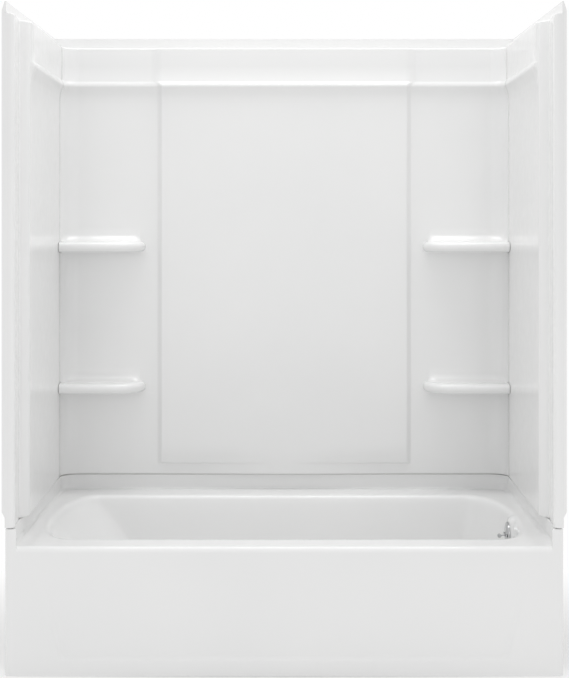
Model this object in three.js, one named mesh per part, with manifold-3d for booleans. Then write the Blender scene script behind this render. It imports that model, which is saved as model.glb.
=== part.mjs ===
// Tub and shower unit: an alcove bath, three wall panels that stand on its raised band,
// and the waste and overflow fittings behind its right-hand end.
// Millimetres, +Z up. Shapes are drawn with X from the middle of the unit, Y back from its
// front plane and Z up from the floor, and the whole unit is then centred on its depth.

import * as THREE from 'three';
import { mergeVertices } from 'three/addons/utils/BufferGeometryUtils.js';
import Module from 'manifold-3d';

const wasm = await Module();
wasm.setup();

// Allowances
const gap = 0.3;
const overrun = 12;
const weld = 0.001;

// Counts of sides and steps
const pipeSides = 16;
const smallSides = 8;
const plateSides = 24;
const quarterSteps = 4;
const rimSteps = 4;
const endQuarterSteps = 10;
const shelfSteps = 3;

// Overall sizes
const unit = { length: 1524, depth: 762, height: 1839 };
const halfLength = unit.length / 2;

// Bath: deck, apron and underside
const bath = {
  deckHeight: 351,
  wall: 5,
  frontEdgeRadius: 16,
  cornerRadius: 12,
  apronReturn: 60,
};

// Raised band round three sides of the deck, which the wall panels stand on
const band = {
  height: 49,
  frontWidth: 33,
  turnDepth: 36,
  frontWaist: 20,
  waistDepth: 95,
  rearWidth: 30,
  backWidth: 15,
  cornerRadius: 50,
  cove: 8,
};
const bandTop = bath.deckHeight + band.height;
const bandTurnShares = [[1, 0], [0.62, 0.22], [0.3, 0.5], [0.08, 0.82]];

// Shallow recess in the apron, deepest along its foot
const recess = {
  depth: 6,
  top: 302,
  bottom: 39,
  slope: 17,
  topInset: 60,
  bottomInset: 144,
  cornerRadius: 22,
};
const recessSideShares = [[0.1, 0.05], [0.45, 0.28], [0.72, 0.56], [0.9, 0.8]];

// Bathing well
const basin = {
  leftLedge: 66,
  rightLedge: 79,
  frontLedge: 92,
  backLedge: 112,
  endCurve: 130,
  rimRadius: 16,
  floorHeight: 98,
  floorFall: 6,
  backrestRun: 235,
  drainEndRun: 75,
  sideRun: 60,
};
const basinLeft = halfLength - basin.leftLedge;
const basinRight = halfLength - basin.rightLedge;
const frontEndPower = 3;
const backEndPower = 2;
const basinDownShares = [0, 0.3, 0.6, 0.8, 0.92, 0.98, 1];
const backrestInShares = [0, 0.255, 0.51, 0.7, 0.85, 0.94, 1];
const drainEndInShares = [0, 0.04, 0.2, 0.42, 0.68, 0.86, 1];
const sideInShares = [0, 0.18, 0.38, 0.55, 0.74, 0.88, 1];

// Foam strip between the band and the wall panels
const seal = { thickness: 2, width: 11, edge: 3, start: 9 };
const wallBottom = bandTop + seal.thickness + 2 * gap;

// Wall panels
const panel = {
  sheet: 4,
  ledgeDrop: 33,
  flangeReach: 8,
  flangeSetBack: 2,
  flangeFoot: 28,
  flangeFootChamfer: 15,
  flangeTopChamfer: 25,
};
const ledgeTop = unit.height - panel.ledgeDrop;

// End wall, measured inwards from the end of the bath and back from the front plane
const endWall = {
  nosingOutset: 2,
  nosingSlope: 4,
  nosingInset: 27,
  nosingRadius: 10,
  throatInset: 16.5,
  throatDepth: 131,
  stepLength: 44,
  frontInset: 38,
  rearInset: 31,
  friezeStart: 8,
  seamSetBack: 72,
  returnReach: 22,
};
const seamDepth = unit.depth - endWall.seamSetBack;

// Back wall
const backWall = {
  faceInset: 24,
  cornerRadius: 38,
  panelFromEnd: 362,
  panelProud: 10,
  stepWidth: 20,
  friezeStepWidth: 40,
  friezePanelProud: 5,
  panelFoot: 41,
  panelFootSlope: 9,
};
const backFace = unit.depth - backWall.faceInset;
const panelHalfWidth = halfLength - backWall.panelFromEnd;
const middleShares = [1, 0.8, 0.6, 0.4, 0.2, 0];

// Moulded band near the top of the walls: drop below the ledge and how far it stands proud
const frieze = { coveDrop: 183, crestDrop: 121, shoulderDrop: 106, proud: 7, crestProud: 12.5 };
const coveShares = [[0, 0], [0.36, 0.14], [0.66, 0.45], [0.88, 0.82], [1, 1]];
const shoulderShares = [[0.33, 0.12], [0.67, 0.5], [0.88, 0.85], [1, 1]];

// Shelves moulded into the back wall
const shelf = {
  depth: 90,
  length: 269,
  endGap: 5,
  tipLength: 105,
  thickness: 32,
  noseRadius: 14,
  cornerRadius: 6,
  fillet: 22,
  upperTop: 1168,
  spacing: 460,
  embed: 2,
  bridgeDepth: 24,
};

// Spring clips on the joints between the wall panels
const clip = { plate: 1.5, reach: 12, height: 40, count: 4, firstRise: 120, lastDrop: 260 };

// Supports under the bath
const runner = { width: 40, inset: 45, leftInset: 30, drainClearance: 45 };
const deckPost = { width: 50, depth: 30, fromEnd: 170, fromBack: 32 };

// Waste fittings
const waste = {
  drainSetBack: 111,
  tubeSetBack: 47,
  tubeRadius: 19,
  tubeBore: 16.5,
  bodyRadius: 22,
  nutFlats: 52,
  nutHeight: 18,
  nutLip: 4,
  washer: 3,
  socket: 24,
  fit: 0.4,
};
const drain = {
  holeRadius: 24,
  flangeRadius: 35,
  flangeThickness: 2.5,
  seatDepth: 2,
  neckRadius: 21,
  neckBore: 18,
  neckLength: 22,
  bossRadius: 42,
  bossDrop: 3,
  crossBar: 4,
  strainerRadius: 20.4,
  strainerThickness: 1.6,
  strainerHole: 2.6,
  strainerRing: 13,
  strainerHoles: 8,
  screwRadius: 2,
  screwHead: 4.5,
  screwLength: 11,
};
const shoe = { radius: 33, flangeRadius: 38, flangeThickness: 4, bore: 24.5, gasket: 3 };
const overflow = {
  drop: 57,
  plateRadius: 37.5,
  domeHeight: 9,
  plateThickness: 1.6,
  rimHeight: 3,
  holeRadius: 27,
  seatMargin: 2,
  gasket: 4,
  flangeRadius: 36,
  flangeThickness: 5,
  screwRing: 22,
  screwRadius: 2,
  screwHead: 4.5,
  screwHeadHeight: 2,
  elbowDrop: 23,
};
const lever = {
  slotWidth: 9,
  slotHeight: 15,
  width: 7,
  thickness: 4,
  handleReach: 30,
  grip: 12,
  gripThickness: 6,
  pivotInset: 3,
  pinRadius: 1.5,
  earThickness: 2,
  earHeight: 8,
  hubRadius: 3.5,
  armRise: 10,
  throw: 34,
  studRadius: 1.5,
  studReach: 6,
};
const rod = { radius: 2, eyeLength: 14, eyeHeight: 9, eyeThickness: 2.5, slotLength: 9.6, slotHeight: 5 };
const plunger = { radius: 15.3, length: 38, taper: 5, bore: 2.3, socket: 14 };
const tee = { seatBore: 12.5, seatThickness: 5, topRise: 43, sideReach: 36, outletClearance: 18.5 };
const tailEnd = 2;

// Shape helpers

/** A closed solid, facing out, from any closed geometry. */
function solidOf(geometry) {
  const bare = geometry.index ? geometry.toNonIndexed() : geometry.clone();
  for (const name of Object.keys(bare.attributes)) {
    if (name !== 'position') bare.deleteAttribute(name);
  }
  const merged = mergeVertices(bare, weld);
  const corners = merged.attributes.position.array;
  const faces = [];
  let volume = 0;
  const [a, b, c] = [new THREE.Vector3(), new THREE.Vector3(), new THREE.Vector3()];
  for (let i = 0; i < merged.index.count; i += 3) {
    const [p, q, r] = [0, 1, 2].map((k) => merged.index.getX(i + k));
    if (p === q || q === r || r === p) continue;
    faces.push([p, q, r]);
    a.fromArray(corners, 3 * p);
    b.fromArray(corners, 3 * q);
    c.fromArray(corners, 3 * r);
    volume += a.dot(b.cross(c));
  }
  const triangles = faces.flatMap(([p, q, r]) => (volume < 0 ? [p, r, q] : [p, q, r]));
  const mesh = new wasm.Mesh({
    numProp: 3,
    vertProperties: Float32Array.from(corners),
    triVerts: Uint32Array.from(triangles),
  });
  return new wasm.Manifold(mesh);
}

/** The geometry of a finished solid. */
function geometryOf(solid) {
  const mesh = solid.getMesh();
  const geometry = new THREE.BufferGeometry();
  geometry.setAttribute('position', new THREE.BufferAttribute(Float32Array.from(mesh.vertProperties), 3));
  geometry.setIndex(new THREE.BufferAttribute(Uint32Array.from(mesh.triVerts), 1));
  geometry.computeVertexNormals();
  return geometry;
}

/** Joins a list of solids into one. */
const joined = (solids) => solids.reduce((whole, solid) => whole.add(solid));

/** Cuts a list of solids out of one. */
const cut = (whole, solids) => solids.reduce((rest, solid) => rest.subtract(solid), whole);

/** A box between two corners. */
function box([x0, y0, z0], [x1, y1, z1]) {
  const geometry = new THREE.BoxGeometry(x1 - x0, y1 - y0, z1 - z0);
  geometry.translate((x0 + x1) / 2, (y0 + y1) / 2, (z0 + z1) / 2);
  return solidOf(geometry);
}

/** A turned solid. The profile is a list of [radius, place along the axis]. */
function turned(profile, sides, axis = 'z') {
  const points = profile.map(([radius, along]) => new THREE.Vector2(radius, along));
  const geometry = new THREE.LatheGeometry(points, sides);
  if (axis === 'z') geometry.rotateX(Math.PI / 2);
  if (axis === 'x') geometry.rotateZ(-Math.PI / 2);
  return geometry;
}

/** A round bar between two places along an axis. */
const bar = (radius, low, high, sides, axis = 'z') =>
  turned([[0, low], [radius, low], [radius, high], [0, high]], sides, axis);

/** A round tube between two places along an axis. */
const tube = (radius, bore, low, high, sides, axis = 'z') =>
  turned([[bore, low], [radius, low], [radius, high], [bore, high], [bore, low]], sides, axis);

/** A solid moved to a place. */
const placed = (geometry, x, y, z) => solidOf(geometry.clone().translate(x, y, z));

/** A plan outline, raised from one height to another. */
function prism(outline, low, high) {
  const shape = new THREE.Shape(outline.map(([x, y]) => new THREE.Vector2(x, y)));
  const geometry = new THREE.ExtrudeGeometry(shape, { depth: high - low, bevelEnabled: false });
  return solidOf(geometry.translate(0, 0, low));
}

/** A solid whose [Y, Z] section runs along X. */
function prismAlongX(section, left, right) {
  const shape = new THREE.Shape(section.map(([y, z]) => new THREE.Vector2(y, z)));
  const geometry = new THREE.ExtrudeGeometry(shape, { depth: right - left, bevelEnabled: false });
  const turn = new THREE.Matrix4().set(0, 0, 1, left, 1, 0, 0, 0, 0, 1, 0, 0, 0, 0, 0, 1);
  return solidOf(geometry.applyMatrix4(turn));
}

/** A solid whose [X, Z] section runs along Y. */
function prismAlongY(section, front, back) {
  const shape = new THREE.Shape(section.map(([x, z]) => new THREE.Vector2(x, z)));
  const geometry = new THREE.ExtrudeGeometry(shape, { depth: back - front, bevelEnabled: false });
  const turn = new THREE.Matrix4().set(1, 0, 0, 0, 0, 0, -1, back, 0, 1, 0, 0, 0, 0, 0, 1);
  return solidOf(geometry.applyMatrix4(turn));
}

/** A solid through rings of points, all of one count, closed by flat caps. */
function loft(rings, flat = (point) => new THREE.Vector2(point.x, point.y)) {
  const count = rings[0].length;
  const corners = rings.flat();
  const faces = [];
  for (let level = 0; level + 1 < rings.length; level += 1) {
    for (let i = 0; i < count; i += 1) {
      const next = (i + 1) % count;
      const [a, b] = [level * count + i, level * count + next];
      faces.push([a, b, b + count], [a, b + count, a + count]);
    }
  }
  const last = (rings.length - 1) * count;
  for (const [start, isTop] of [[0, false], [last, true]]) {
    const ring = rings[start / count].map(flat);
    const flip = isTop === (THREE.ShapeUtils.area(ring) < 0);
    for (const [p, q, r] of THREE.ShapeUtils.triangulateShape(ring, [])) {
      faces.push(flip ? [start + p, start + r, start + q] : [start + p, start + q, start + r]);
    }
  }
  const geometry = new THREE.BufferGeometry().setFromPoints(corners);
  geometry.setIndex(faces.flat());
  return solidOf(geometry);
}

/** A plan path moved sideways, to the right of its direction of travel. */
function offsetPath(path, distance) {
  const side = (from, to) => {
    const run = [to[0] - from[0], to[1] - from[1]];
    const length = Math.hypot(...run);
    return [run[1] / length, -run[0] / length];
  };
  return path.map((point, i) => {
    const before = i > 0 ? side(path[i - 1], point) : side(point, path[i + 1]);
    const after = i + 1 < path.length ? side(point, path[i + 1]) : before;
    const spread = 1 + before[0] * after[0] + before[1] * after[1];
    return [0, 1].map((k) => point[k] + (distance * (before[k] + after[k])) / spread);
  });
}

/** Points of a round or oval arc, both ends included. */
function arc([x, y], [reachX, reachY], fromAngle, toAngle, steps) {
  return Array.from({ length: steps + 1 }, (_, i) => {
    const angle = THREE.MathUtils.degToRad(fromAngle + ((toAngle - fromAngle) * i) / steps);
    return [x + reachX * Math.cos(angle), y + reachY * Math.sin(angle)];
  });
}

/** An S-shaped rise from 0 to 1. */
const ease = (share) => (1 - Math.cos(Math.PI * share)) / 2;

const lerp = THREE.MathUtils.lerp;
const mirrored = (points) => points.map(([x, y]) => [-x, y]).reverse();
const atHeight = (outline, z) => outline.map(([x, y]) => new THREE.Vector3(x, y, z));

/** The same solid on the other side of the unit. */
function mirroredSolid(solid) {
  return solidOf(geometryOf(solid).applyMatrix4(new THREE.Matrix4().makeScale(-1, 1, 1)));
}

// Bath

/** Plan path of the band's inner face, from the left front round the back to the right front. */
function bandPath() {
  const turn = bandTurnShares.map(([widthShare, depthShare]) => [
    lerp(band.frontWaist, band.frontWidth, widthShare) - halfLength,
    band.turnDepth * depthShare,
  ]);
  const backEdge = unit.depth - band.backWidth;
  const rearEdge = band.rearWidth - halfLength;
  const centre = [rearEdge + band.cornerRadius, backEdge - band.cornerRadius];
  const corner = arc(centre, [band.cornerRadius, band.cornerRadius], 180, 90, quarterSteps);
  const left = [...turn, [band.frontWaist - halfLength, band.waistDepth], ...corner];
  return [...left, ...mirrored(left)];
}

/** The space inside the band, grown outwards by a distance, open at the front. */
function bandSpace(growth, low) {
  const path = bandPath();
  const ring = (inset, height) => {
    const moved = offsetPath(path, inset - growth);
    const [first, last] = [moved[0], moved[moved.length - 1]];
    const front = -overrun;
    return atHeight([[first[0], front], ...moved, [last[0], front]], height);
  };
  const coveRings = arc([0, 0], [band.cove, band.cove], 270, 180, quarterSteps)
    .map(([in_, up]) => ring(band.cove + in_, bath.deckHeight + band.cove + up));
  return loft([ring(band.cove, low), ...coveRings, ring(0, bandTop + overrun)]);
}

/** One ring of the bathing well, anticlockwise from its front right, at a share of its depth. */
function basinRing(outset, backrestIn, drainEndIn, sideIn, heightAt) {
  const left = -basinLeft - outset + backrestIn;
  const right = basinRight + outset - drainEndIn;
  const front = basin.frontLedge - outset + sideIn;
  const back = unit.depth - basin.backLedge + outset - sideIn;
  const middle = (front + back) / 2;
  const points = [];
  for (const [end, sense] of [[right, 1], [left, -1]]) {
    for (let i = -endQuarterSteps; i <= endQuarterSteps; i += 1) {
      const angle = (Math.PI / 2) * (i / endQuarterSteps) * sense;
      const power = 2 / (angle < 0 ? frontEndPower : backEndPower);
      const outwards = basin.endCurve * (1 - Math.cos(angle) ** power);
      const across = Math.sign(angle) * ((back - front) / 2) * Math.abs(Math.sin(angle)) ** power;
      const x = end - sense * outwards;
      points.push(new THREE.Vector3(x, middle + across, heightAt(x)));
    }
  }
  return points;
}

/** Height of the well's floor, which falls towards the drain. */
function floorAt(x) {
  const left = basin.backrestRun - basinLeft;
  const right = basinRight - basin.drainEndRun;
  return basin.floorHeight + (basin.floorFall * (right - x)) / (right - left);
}

/** The bathing well as a solid: its inside, or its outside when grown by the wall. */
function basinBody(growth, top) {
  const lip = basin.rimRadius / 2;
  const rimFoot = bath.deckHeight - basin.rimRadius;
  const radius = basin.rimRadius - growth;
  const rim = arc([0, 0], [radius, radius], 0, 90, rimSteps)
    .map(([up, in_]) => basinRing(lip - in_, 0, 0, 0, () => rimFoot + up));
  const walls = basinDownShares.slice(1).map((down, i) => {
    const runs = [
      basin.backrestRun * backrestInShares[i + 1],
      basin.drainEndRun * drainEndInShares[i + 1],
      basin.sideRun * sideInShares[i + 1],
    ];
    return basinRing(growth - lip, ...runs, (x) => lerp(rimFoot, floorAt(x) - growth, down));
  });
  return loft([basinRing(lip, 0, 0, 0, () => top), ...rim, ...walls]);
}

/** X of the well's drain-end wall at a height, on the unit's centre plane. */
function drainWallX(height) {
  const rimFoot = bath.deckHeight - basin.rimRadius;
  const down = THREE.MathUtils.clamp((rimFoot - height) / (rimFoot - basin.floorHeight), 0, 1);
  const next = Math.max(1, basinDownShares.findIndex((share) => share >= down));
  const [from, to] = [basinDownShares[next - 1], basinDownShares[next]];
  const inShare = lerp(drainEndInShares[next - 1], drainEndInShares[next], (down - from) / (to - from));
  return basinRight - basin.rimRadius / 2 - basin.drainEndRun * inShare;
}

// Places that the bath and the waste fittings share
const wellMiddle = (basin.frontLedge + unit.depth - basin.backLedge) / 2;
const drainX = basinRight - waste.drainSetBack;
const drainSeat = floorAt(drainX) - drain.seatDepth;
const bossFoot = floorAt(drainX) - bath.wall - drain.bossDrop;
const tubeX = halfLength - waste.tubeSetBack;
const overflowZ = bath.deckHeight - overflow.drop;
const overflowSeat = drainWallX(overflowZ + overflow.plateRadius);

/** Recess of the apron, or the outside of its skin when grown by the wall. */
function apronRecess(growth) {
  const reach = (down) => halfLength - lerp(recess.topInset, recess.bottomInset, down) + growth;
  const sides = recessSideShares.map(([widthShare, fall]) => [
    reach(widthShare),
    lerp(recess.top, recess.bottom, fall),
  ]);
  const foot = recess.bottom - growth;
  const corner = arc(
    [reach(1) - recess.cornerRadius, foot + recess.cornerRadius],
    [recess.cornerRadius, recess.cornerRadius], 0, -90, quarterSteps,
  );
  const rightSide = [[reach(0), recess.top], ...sides, ...corner];
  const outline = [...rightSide, ...mirrored(rightSide)];
  const inner = offsetPath([...outline, outline[0]], recess.slope).slice(0, outline.length);
  inner[0] = [reach(0) - recess.slope, recess.top];
  inner[inner.length - 1] = [recess.slope - reach(0), recess.top];
  const depthAt = (z) => ((recess.depth * (recess.top - z)) / (recess.top - recess.bottom)) + growth;
  const ringOf = (points, depth) => points.map(([x, z]) => new THREE.Vector3(x, depth(z), z));
  const rings = [
    ringOf(outline, () => -overrun),
    ringOf(outline, () => growth),
    ringOf(inner, depthAt),
  ];
  return loft(rings, (point) => new THREE.Vector2(point.x, point.z));
}

function bathShell() {
  const { wall, deckHeight, frontEdgeRadius: edge, cornerRadius } = bath;
  const nose = arc([edge, deckHeight - edge], [edge, edge], 180, 90, quarterSteps);
  const deck = prismAlongX([[0, 0], ...nose, [unit.depth, deckHeight], [unit.depth, 0]], -halfLength, halfLength);
  const block = box([-halfLength, 0, 0], [halfLength, unit.depth, bandTop]);
  const bandBody = block.subtract(bandSpace(0, -overrun));
  const frontCorner = arc([halfLength - cornerRadius, cornerRadius], [cornerRadius, cornerRadius], -90, 0, quarterSteps);
  const right = [...frontCorner, [halfLength, unit.depth]];
  const plan = prism([...right, ...mirrored(right)], 0, bandTop);
  const outside = deck.add(bandBody).intersect(plan);

  const ceiling = deckHeight - wall;
  const behindApron = box([wall - halfLength, wall, -overrun], [halfLength - wall, unit.depth, ceiling]);
  const openEnds = box(
    [-halfLength - overrun, bath.apronReturn, -overrun],
    [halfLength + overrun, unit.depth + overrun, ceiling],
  );
  const underside = behindApron.add(openEnds).subtract(apronRecess(wall));
  const bandInside = box(
    [wall - halfLength, wall, ceiling - wall],
    [halfLength - wall, unit.depth - wall, bandTop - wall],
  ).subtract(bandSpace(wall, -overrun));

  const drainBoss = placed(bar(drain.bossRadius, bossFoot, drainSeat, plateSides), drainX, wellMiddle, 0);
  const overflowBoss = placed(
    bar(overflow.flangeRadius + overflow.seatMargin, overflowSeat - wall, overflowSeat + wall, plateSides, 'x'),
    0, wellMiddle, overflowZ,
  );
  const body = joined([
    cut(outside, [underside, bandInside, apronRecess(0)]),
    basinBody(wall, ceiling + wall / 2),
    drainBoss,
    overflowBoss,
  ]);

  const drainCuts = [
    bar(drain.flangeRadius + gap, drainSeat, drainSeat + overrun, plateSides),
    bar(drain.holeRadius, -overrun, bath.deckHeight, plateSides),
  ].map((geometry) => placed(geometry, drainX, wellMiddle, 0));
  const overflowCuts = [
    bar(overflow.plateRadius + overflow.seatMargin, overflowSeat - overrun, overflowSeat, plateSides, 'x'),
    bar(overflow.holeRadius, overflowSeat - overrun, overflowSeat + overrun, plateSides, 'x'),
  ].map((geometry) => placed(geometry, 0, wellMiddle, overflowZ));
  return cut(body, [basinBody(0, deckHeight + overrun), ...drainCuts, ...overflowCuts]);
}

// Wall panels

/** Rows of a wall panel above its foot: height, how far it stands proud, how far into the frieze. */
function friezeRows() {
  const cove = coveShares.map(([up, out]) => ({
    z: ledgeTop - lerp(frieze.coveDrop, frieze.crestDrop, up),
    proud: frieze.crestProud * out,
    share: 0,
  }));
  const shoulder = shoulderShares.map(([up, in_]) => ({
    z: ledgeTop - lerp(frieze.crestDrop, frieze.shoulderDrop, up),
    proud: lerp(frieze.crestProud, frieze.proud, in_),
    share: in_,
  }));
  return [...cove, ...shoulder, { z: ledgeTop, proud: frieze.proud, share: 1 }];
}

/** A sheet that follows a plan path at each row, its thickness to the left of the path. */
function sheetBody(rows, pathAt) {
  const outline = (row) => {
    const path = pathAt(row);
    return [...path, ...offsetPath(path, -panel.sheet).reverse()];
  };
  return loft(rows.map((row) => atHeight(outline(row), row.z)));
}

/** Plan path of the left end wall's face, from its front flange to the joint with the back wall. */
function endWallPath({ proud }) {
  const x = (inset) => inset - halfLength;
  const { nosingInset, nosingRadius, throatDepth, stepLength } = endWall;
  const flange = [
    [x(-panel.flangeReach), panel.flangeSetBack],
    [x(endWall.nosingOutset), panel.flangeSetBack],
    [x(endWall.nosingOutset + endWall.nosingSlope), 0],
  ];
  const nose = arc([x(nosingInset - nosingRadius), nosingRadius], [nosingRadius, nosingRadius], -90, 0, quarterSteps);
  const stepShares = [0, 0.17, 0.33, 0.5, 0.67, 0.83, 1];
  const step = stepShares.map((share) => [
    x(lerp(endWall.throatInset, endWall.frontInset, ease(share))),
    throatDepth + stepLength * share,
  ]);
  const faceStart = throatDepth + stepLength + endWall.friezeStart;
  return [
    ...flange,
    ...nose,
    ...step,
    [x(endWall.frontInset) + proud, faceStart],
    [x(endWall.rearInset) + proud, seamDepth],
    [x(endWall.rearInset - endWall.returnReach), seamDepth],
  ];
}

/** Flat plate inside a wall panel, from its sheet out to the line of the studs. */
function innerPlate(path, outer, low) {
  return prism([...offsetPath(path, -panel.sheet / 2), ...outer], low, low + panel.sheet);
}

function leftEndWall() {
  const rows = [{ z: wallBottom, proud: 0 }, ...friezeRows()];
  const { sheet, flangeReach, flangeSetBack } = panel;
  const studLine = sheet - halfLength;
  const plateAt = (row, low) => {
    const path = endWallPath(row).slice(2, -1);
    const corner = path[path.length - 1];
    return innerPlate(path, [[corner[0] - sheet, seamDepth - sheet / 2], [studLine, seamDepth - sheet / 2],
      [studLine, flangeSetBack]], low);
  };
  const sideFlange = box([-halfLength, flangeSetBack, ledgeTop - sheet], [studLine, seamDepth, unit.height]);
  const frontFlange = box(
    [-halfLength - flangeReach, flangeSetBack, ledgeTop - sheet],
    [studLine, flangeSetBack + sheet, unit.height],
  );
  const body = joined([
    sheetBody(rows, endWallPath),
    plateAt(rows[0], wallBottom),
    plateAt(rows[rows.length - 1], ledgeTop - sheet),
    sideFlange,
    frontFlange,
  ]);
  const [edge, past] = [-halfLength - flangeReach, -halfLength - flangeReach - overrun];
  const top = unit.height;
  const topChamfer = [[edge, top - panel.flangeTopChamfer], [-halfLength, top], [-halfLength, top + overrun],
    [past, top + overrun], [past, top - panel.flangeTopChamfer]];
  const foot = wallBottom + panel.flangeFoot;
  const footChamfer = [[edge, foot + panel.flangeFootChamfer], [past, foot + panel.flangeFootChamfer],
    [past, wallBottom - overrun], [-halfLength, wallBottom - overrun], [-halfLength, foot]];
  const cutters = [topChamfer, footChamfer].map((section) => prismAlongY(section, -overrun, 2 * overrun));
  return cut(body, cutters);
}

/** Plan path of the back wall's face, from its left joint to its right joint. */
function backWallPath({ proud, share, panelShare = 1, footShare = 0 }) {
  const x = (inset) => inset - halfLength;
  const flangeY = seamDepth + gap;
  const radius = backWall.cornerRadius - proud;
  const centre = [x(endWall.rearInset + backWall.cornerRadius), backFace - backWall.cornerRadius];
  const corner = arc(centre, [radius, radius], 180, 90, quarterSteps + 2);
  const rise = lerp(backWall.panelProud, backWall.friezePanelProud, share) * panelShare;
  const width = lerp(backWall.stepWidth, backWall.friezeStepWidth, share);
  const stepShares = [0, 0.2, 0.4, 0.6, 0.8, 1];
  const step = stepShares.map((along) => [
    (along - 1) * width - panelHalfWidth,
    backFace - proud - rise * ease(along),
  ]);
  const middle = middleShares.slice(1).map((out) => [
    -panelHalfWidth * out,
    backFace - proud - rise - backWall.panelProud * footShare * ease(1 - out),
  ]);
  const left = [
    [x(endWall.rearInset - endWall.returnReach), flangeY],
    [x(endWall.rearInset) + proud, flangeY],
    ...corner,
    ...step,
    ...middle,
  ];
  return [...left, ...mirrored(left.slice(0, -1))];
}

/** Plan outline of the left shelf, drawn in by an inset along its free edges. */
function shelfOutline(inset, endInset, back) {
  const end = endWall.rearInset + shelf.endGap - halfLength + endInset;
  const tip = endWall.rearInset + shelf.endGap - halfLength + shelf.length - inset;
  const front = backFace - shelf.depth + inset;
  const { cornerRadius: corner, tipLength } = shelf;
  const nose = arc([end + corner, front + corner], [corner, corner], 180, 270, shelfSteps);
  const tipReach = [tipLength - inset, shelf.depth - inset];
  const tipCurve = arc([tip - tipReach[0], backFace], tipReach, -90, 0, 2 * shelfSteps);
  return [[end, back], ...nose, ...tipCurve, [tip, back]];
}

/** Body of a shelf, or the hollow inside it, between two heights. */
function shelfBody(low, high, radius, skin, back) {
  const foot = arc([0, 0], [radius, radius], 270, 360, shelfSteps)
    .map(([out, up]) => atHeight(shelfOutline(skin + radius - out, skin, back), low + radius + up));
  const crown = arc([0, 0], [radius, radius], 0, 90, shelfSteps)
    .map(([out, up]) => atHeight(shelfOutline(skin + radius - out, skin, back), high - radius + up));
  return loft([...foot, ...crown]);
}

/** A left shelf and the hollow behind it, for a shelf whose top is at a height. */
function shelfAt(top) {
  const foot = top - shelf.thickness;
  const end = endWall.rearInset + shelf.endGap - halfLength;
  const skin = panel.sheet;
  const body = shelfBody(foot, top, shelf.noseRadius, 0, backFace + shelf.embed);
  const hollow = shelfBody(foot + skin, top - skin, shelf.noseRadius - skin, skin, unit.depth);
  const bridge = box(
    [end - shelf.endGap - shelf.embed, seamDepth + gap, foot + shelf.noseRadius],
    [end + skin, seamDepth + shelf.bridgeDepth, top - shelf.noseRadius / 2],
  );
  const centre = [backFace - shelf.fillet, top + shelf.fillet];
  const curve = arc(centre, [shelf.fillet, shelf.fillet], -90, 0, quarterSteps);
  const root = backFace + shelf.embed;
  const sink = top - shelf.embed;
  const section = [[centre[0], sink], ...curve, [root, centre[1]], [root, sink]];
  const fillet = prismAlongX(section, end, end + shelf.length - shelf.tipLength / 2);
  return { body: joined([body, bridge, fillet]), hollow };
}

function backWallPanel() {
  const footRows = [
    { z: wallBottom, proud: 0, share: 0, panelShare: 0, footShare: 1 },
    { z: wallBottom + backWall.panelFoot - backWall.panelFootSlope, proud: 0, share: 0, panelShare: 0, footShare: 1 },
    { z: wallBottom + backWall.panelFoot, proud: 0, share: 0 },
  ];
  const rows = [...footRows, ...friezeRows()];
  const { sheet } = panel;
  const inner = halfLength - sheet;
  const behind = unit.depth - sheet;
  const start = seamDepth + gap;
  const plateAt = (row, low) => {
    const outer = [[inner, start + sheet / 2], [inner, behind], [-inner, behind], [-inner, start + sheet / 2]];
    return innerPlate(backWallPath(row), outer, low);
  };
  const rearFlange = box([-halfLength, behind, ledgeTop - sheet], [halfLength, unit.depth, unit.height]);
  const sideFlanges = [-halfLength, inner].map((x) =>
    box([x, start, ledgeTop - sheet], [x + sheet, unit.depth, unit.height]));
  const left = [shelf.upperTop, shelf.upperTop - shelf.spacing].map(shelfAt);
  const bodies = left.flatMap(({ body }) => [body, mirroredSolid(body)]);
  const hollows = left.flatMap(({ hollow }) => [hollow, mirroredSolid(hollow)]);
  const whole = joined([
    sheetBody(rows, backWallPath),
    plateAt(rows[0], wallBottom),
    plateAt(rows[rows.length - 1], ledgeTop - sheet),
    rearFlange,
    ...sideFlanges,
    ...bodies,
  ]);
  return cut(whole, hollows);
}

/** Foam strip along one end of the band. */
function endSeal() {
  const outer = seal.edge - halfLength;
  const start = unit.depth - band.backWidth;
  return box([outer, seal.start, bandTop + gap], [outer + seal.width, start, bandTop + gap + seal.thickness]);
}

/** Foam strip along the back of the band. */
function backSeal() {
  const reach = halfLength - seal.edge;
  const start = unit.depth - band.backWidth + gap;
  return box([-reach, start, bandTop + gap], [reach, start + seal.width, bandTop + gap + seal.thickness]);
}

/** Spring clip that holds the left end wall's return to the back wall's, by its number from below. */
function seamClip(number) {
  const grip = 2 * panel.sheet + gap;
  const edge = endWall.rearInset - endWall.returnReach - halfLength;
  const middle = seamDepth + gap / 2;
  const reach = grip / 2 + gap;
  const web = edge - gap;
  const section = [
    [web - clip.plate, middle - reach - clip.plate],
    [edge + clip.reach, middle - reach - clip.plate],
    [edge + clip.reach, middle - reach],
    [web, middle - reach],
    [web, middle + reach],
    [edge + clip.reach, middle + reach],
    [edge + clip.reach, middle + reach + clip.plate],
    [web - clip.plate, middle + reach + clip.plate],
  ];
  const lowest = wallBottom + clip.firstRise;
  const highest = ledgeTop - clip.lastDrop;
  const z = lerp(lowest, highest, (number - 1) / (clip.count - 1));
  return prism(section, z, z + clip.height);
}

// Supports

/** Runner under the well's floor, whose top follows the floor's fall. */
function floorRunner(front) {
  const left = basin.backrestRun - basinLeft + runner.leftInset;
  const right = drainX - shoe.flangeRadius - runner.drainClearance;
  const under = (x) => floorAt(x) - bath.wall - gap;
  const section = [[left, 0], [right, 0], [right, under(right)], [left, under(left)]];
  return prismAlongY(section, front, front + runner.width);
}

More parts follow.
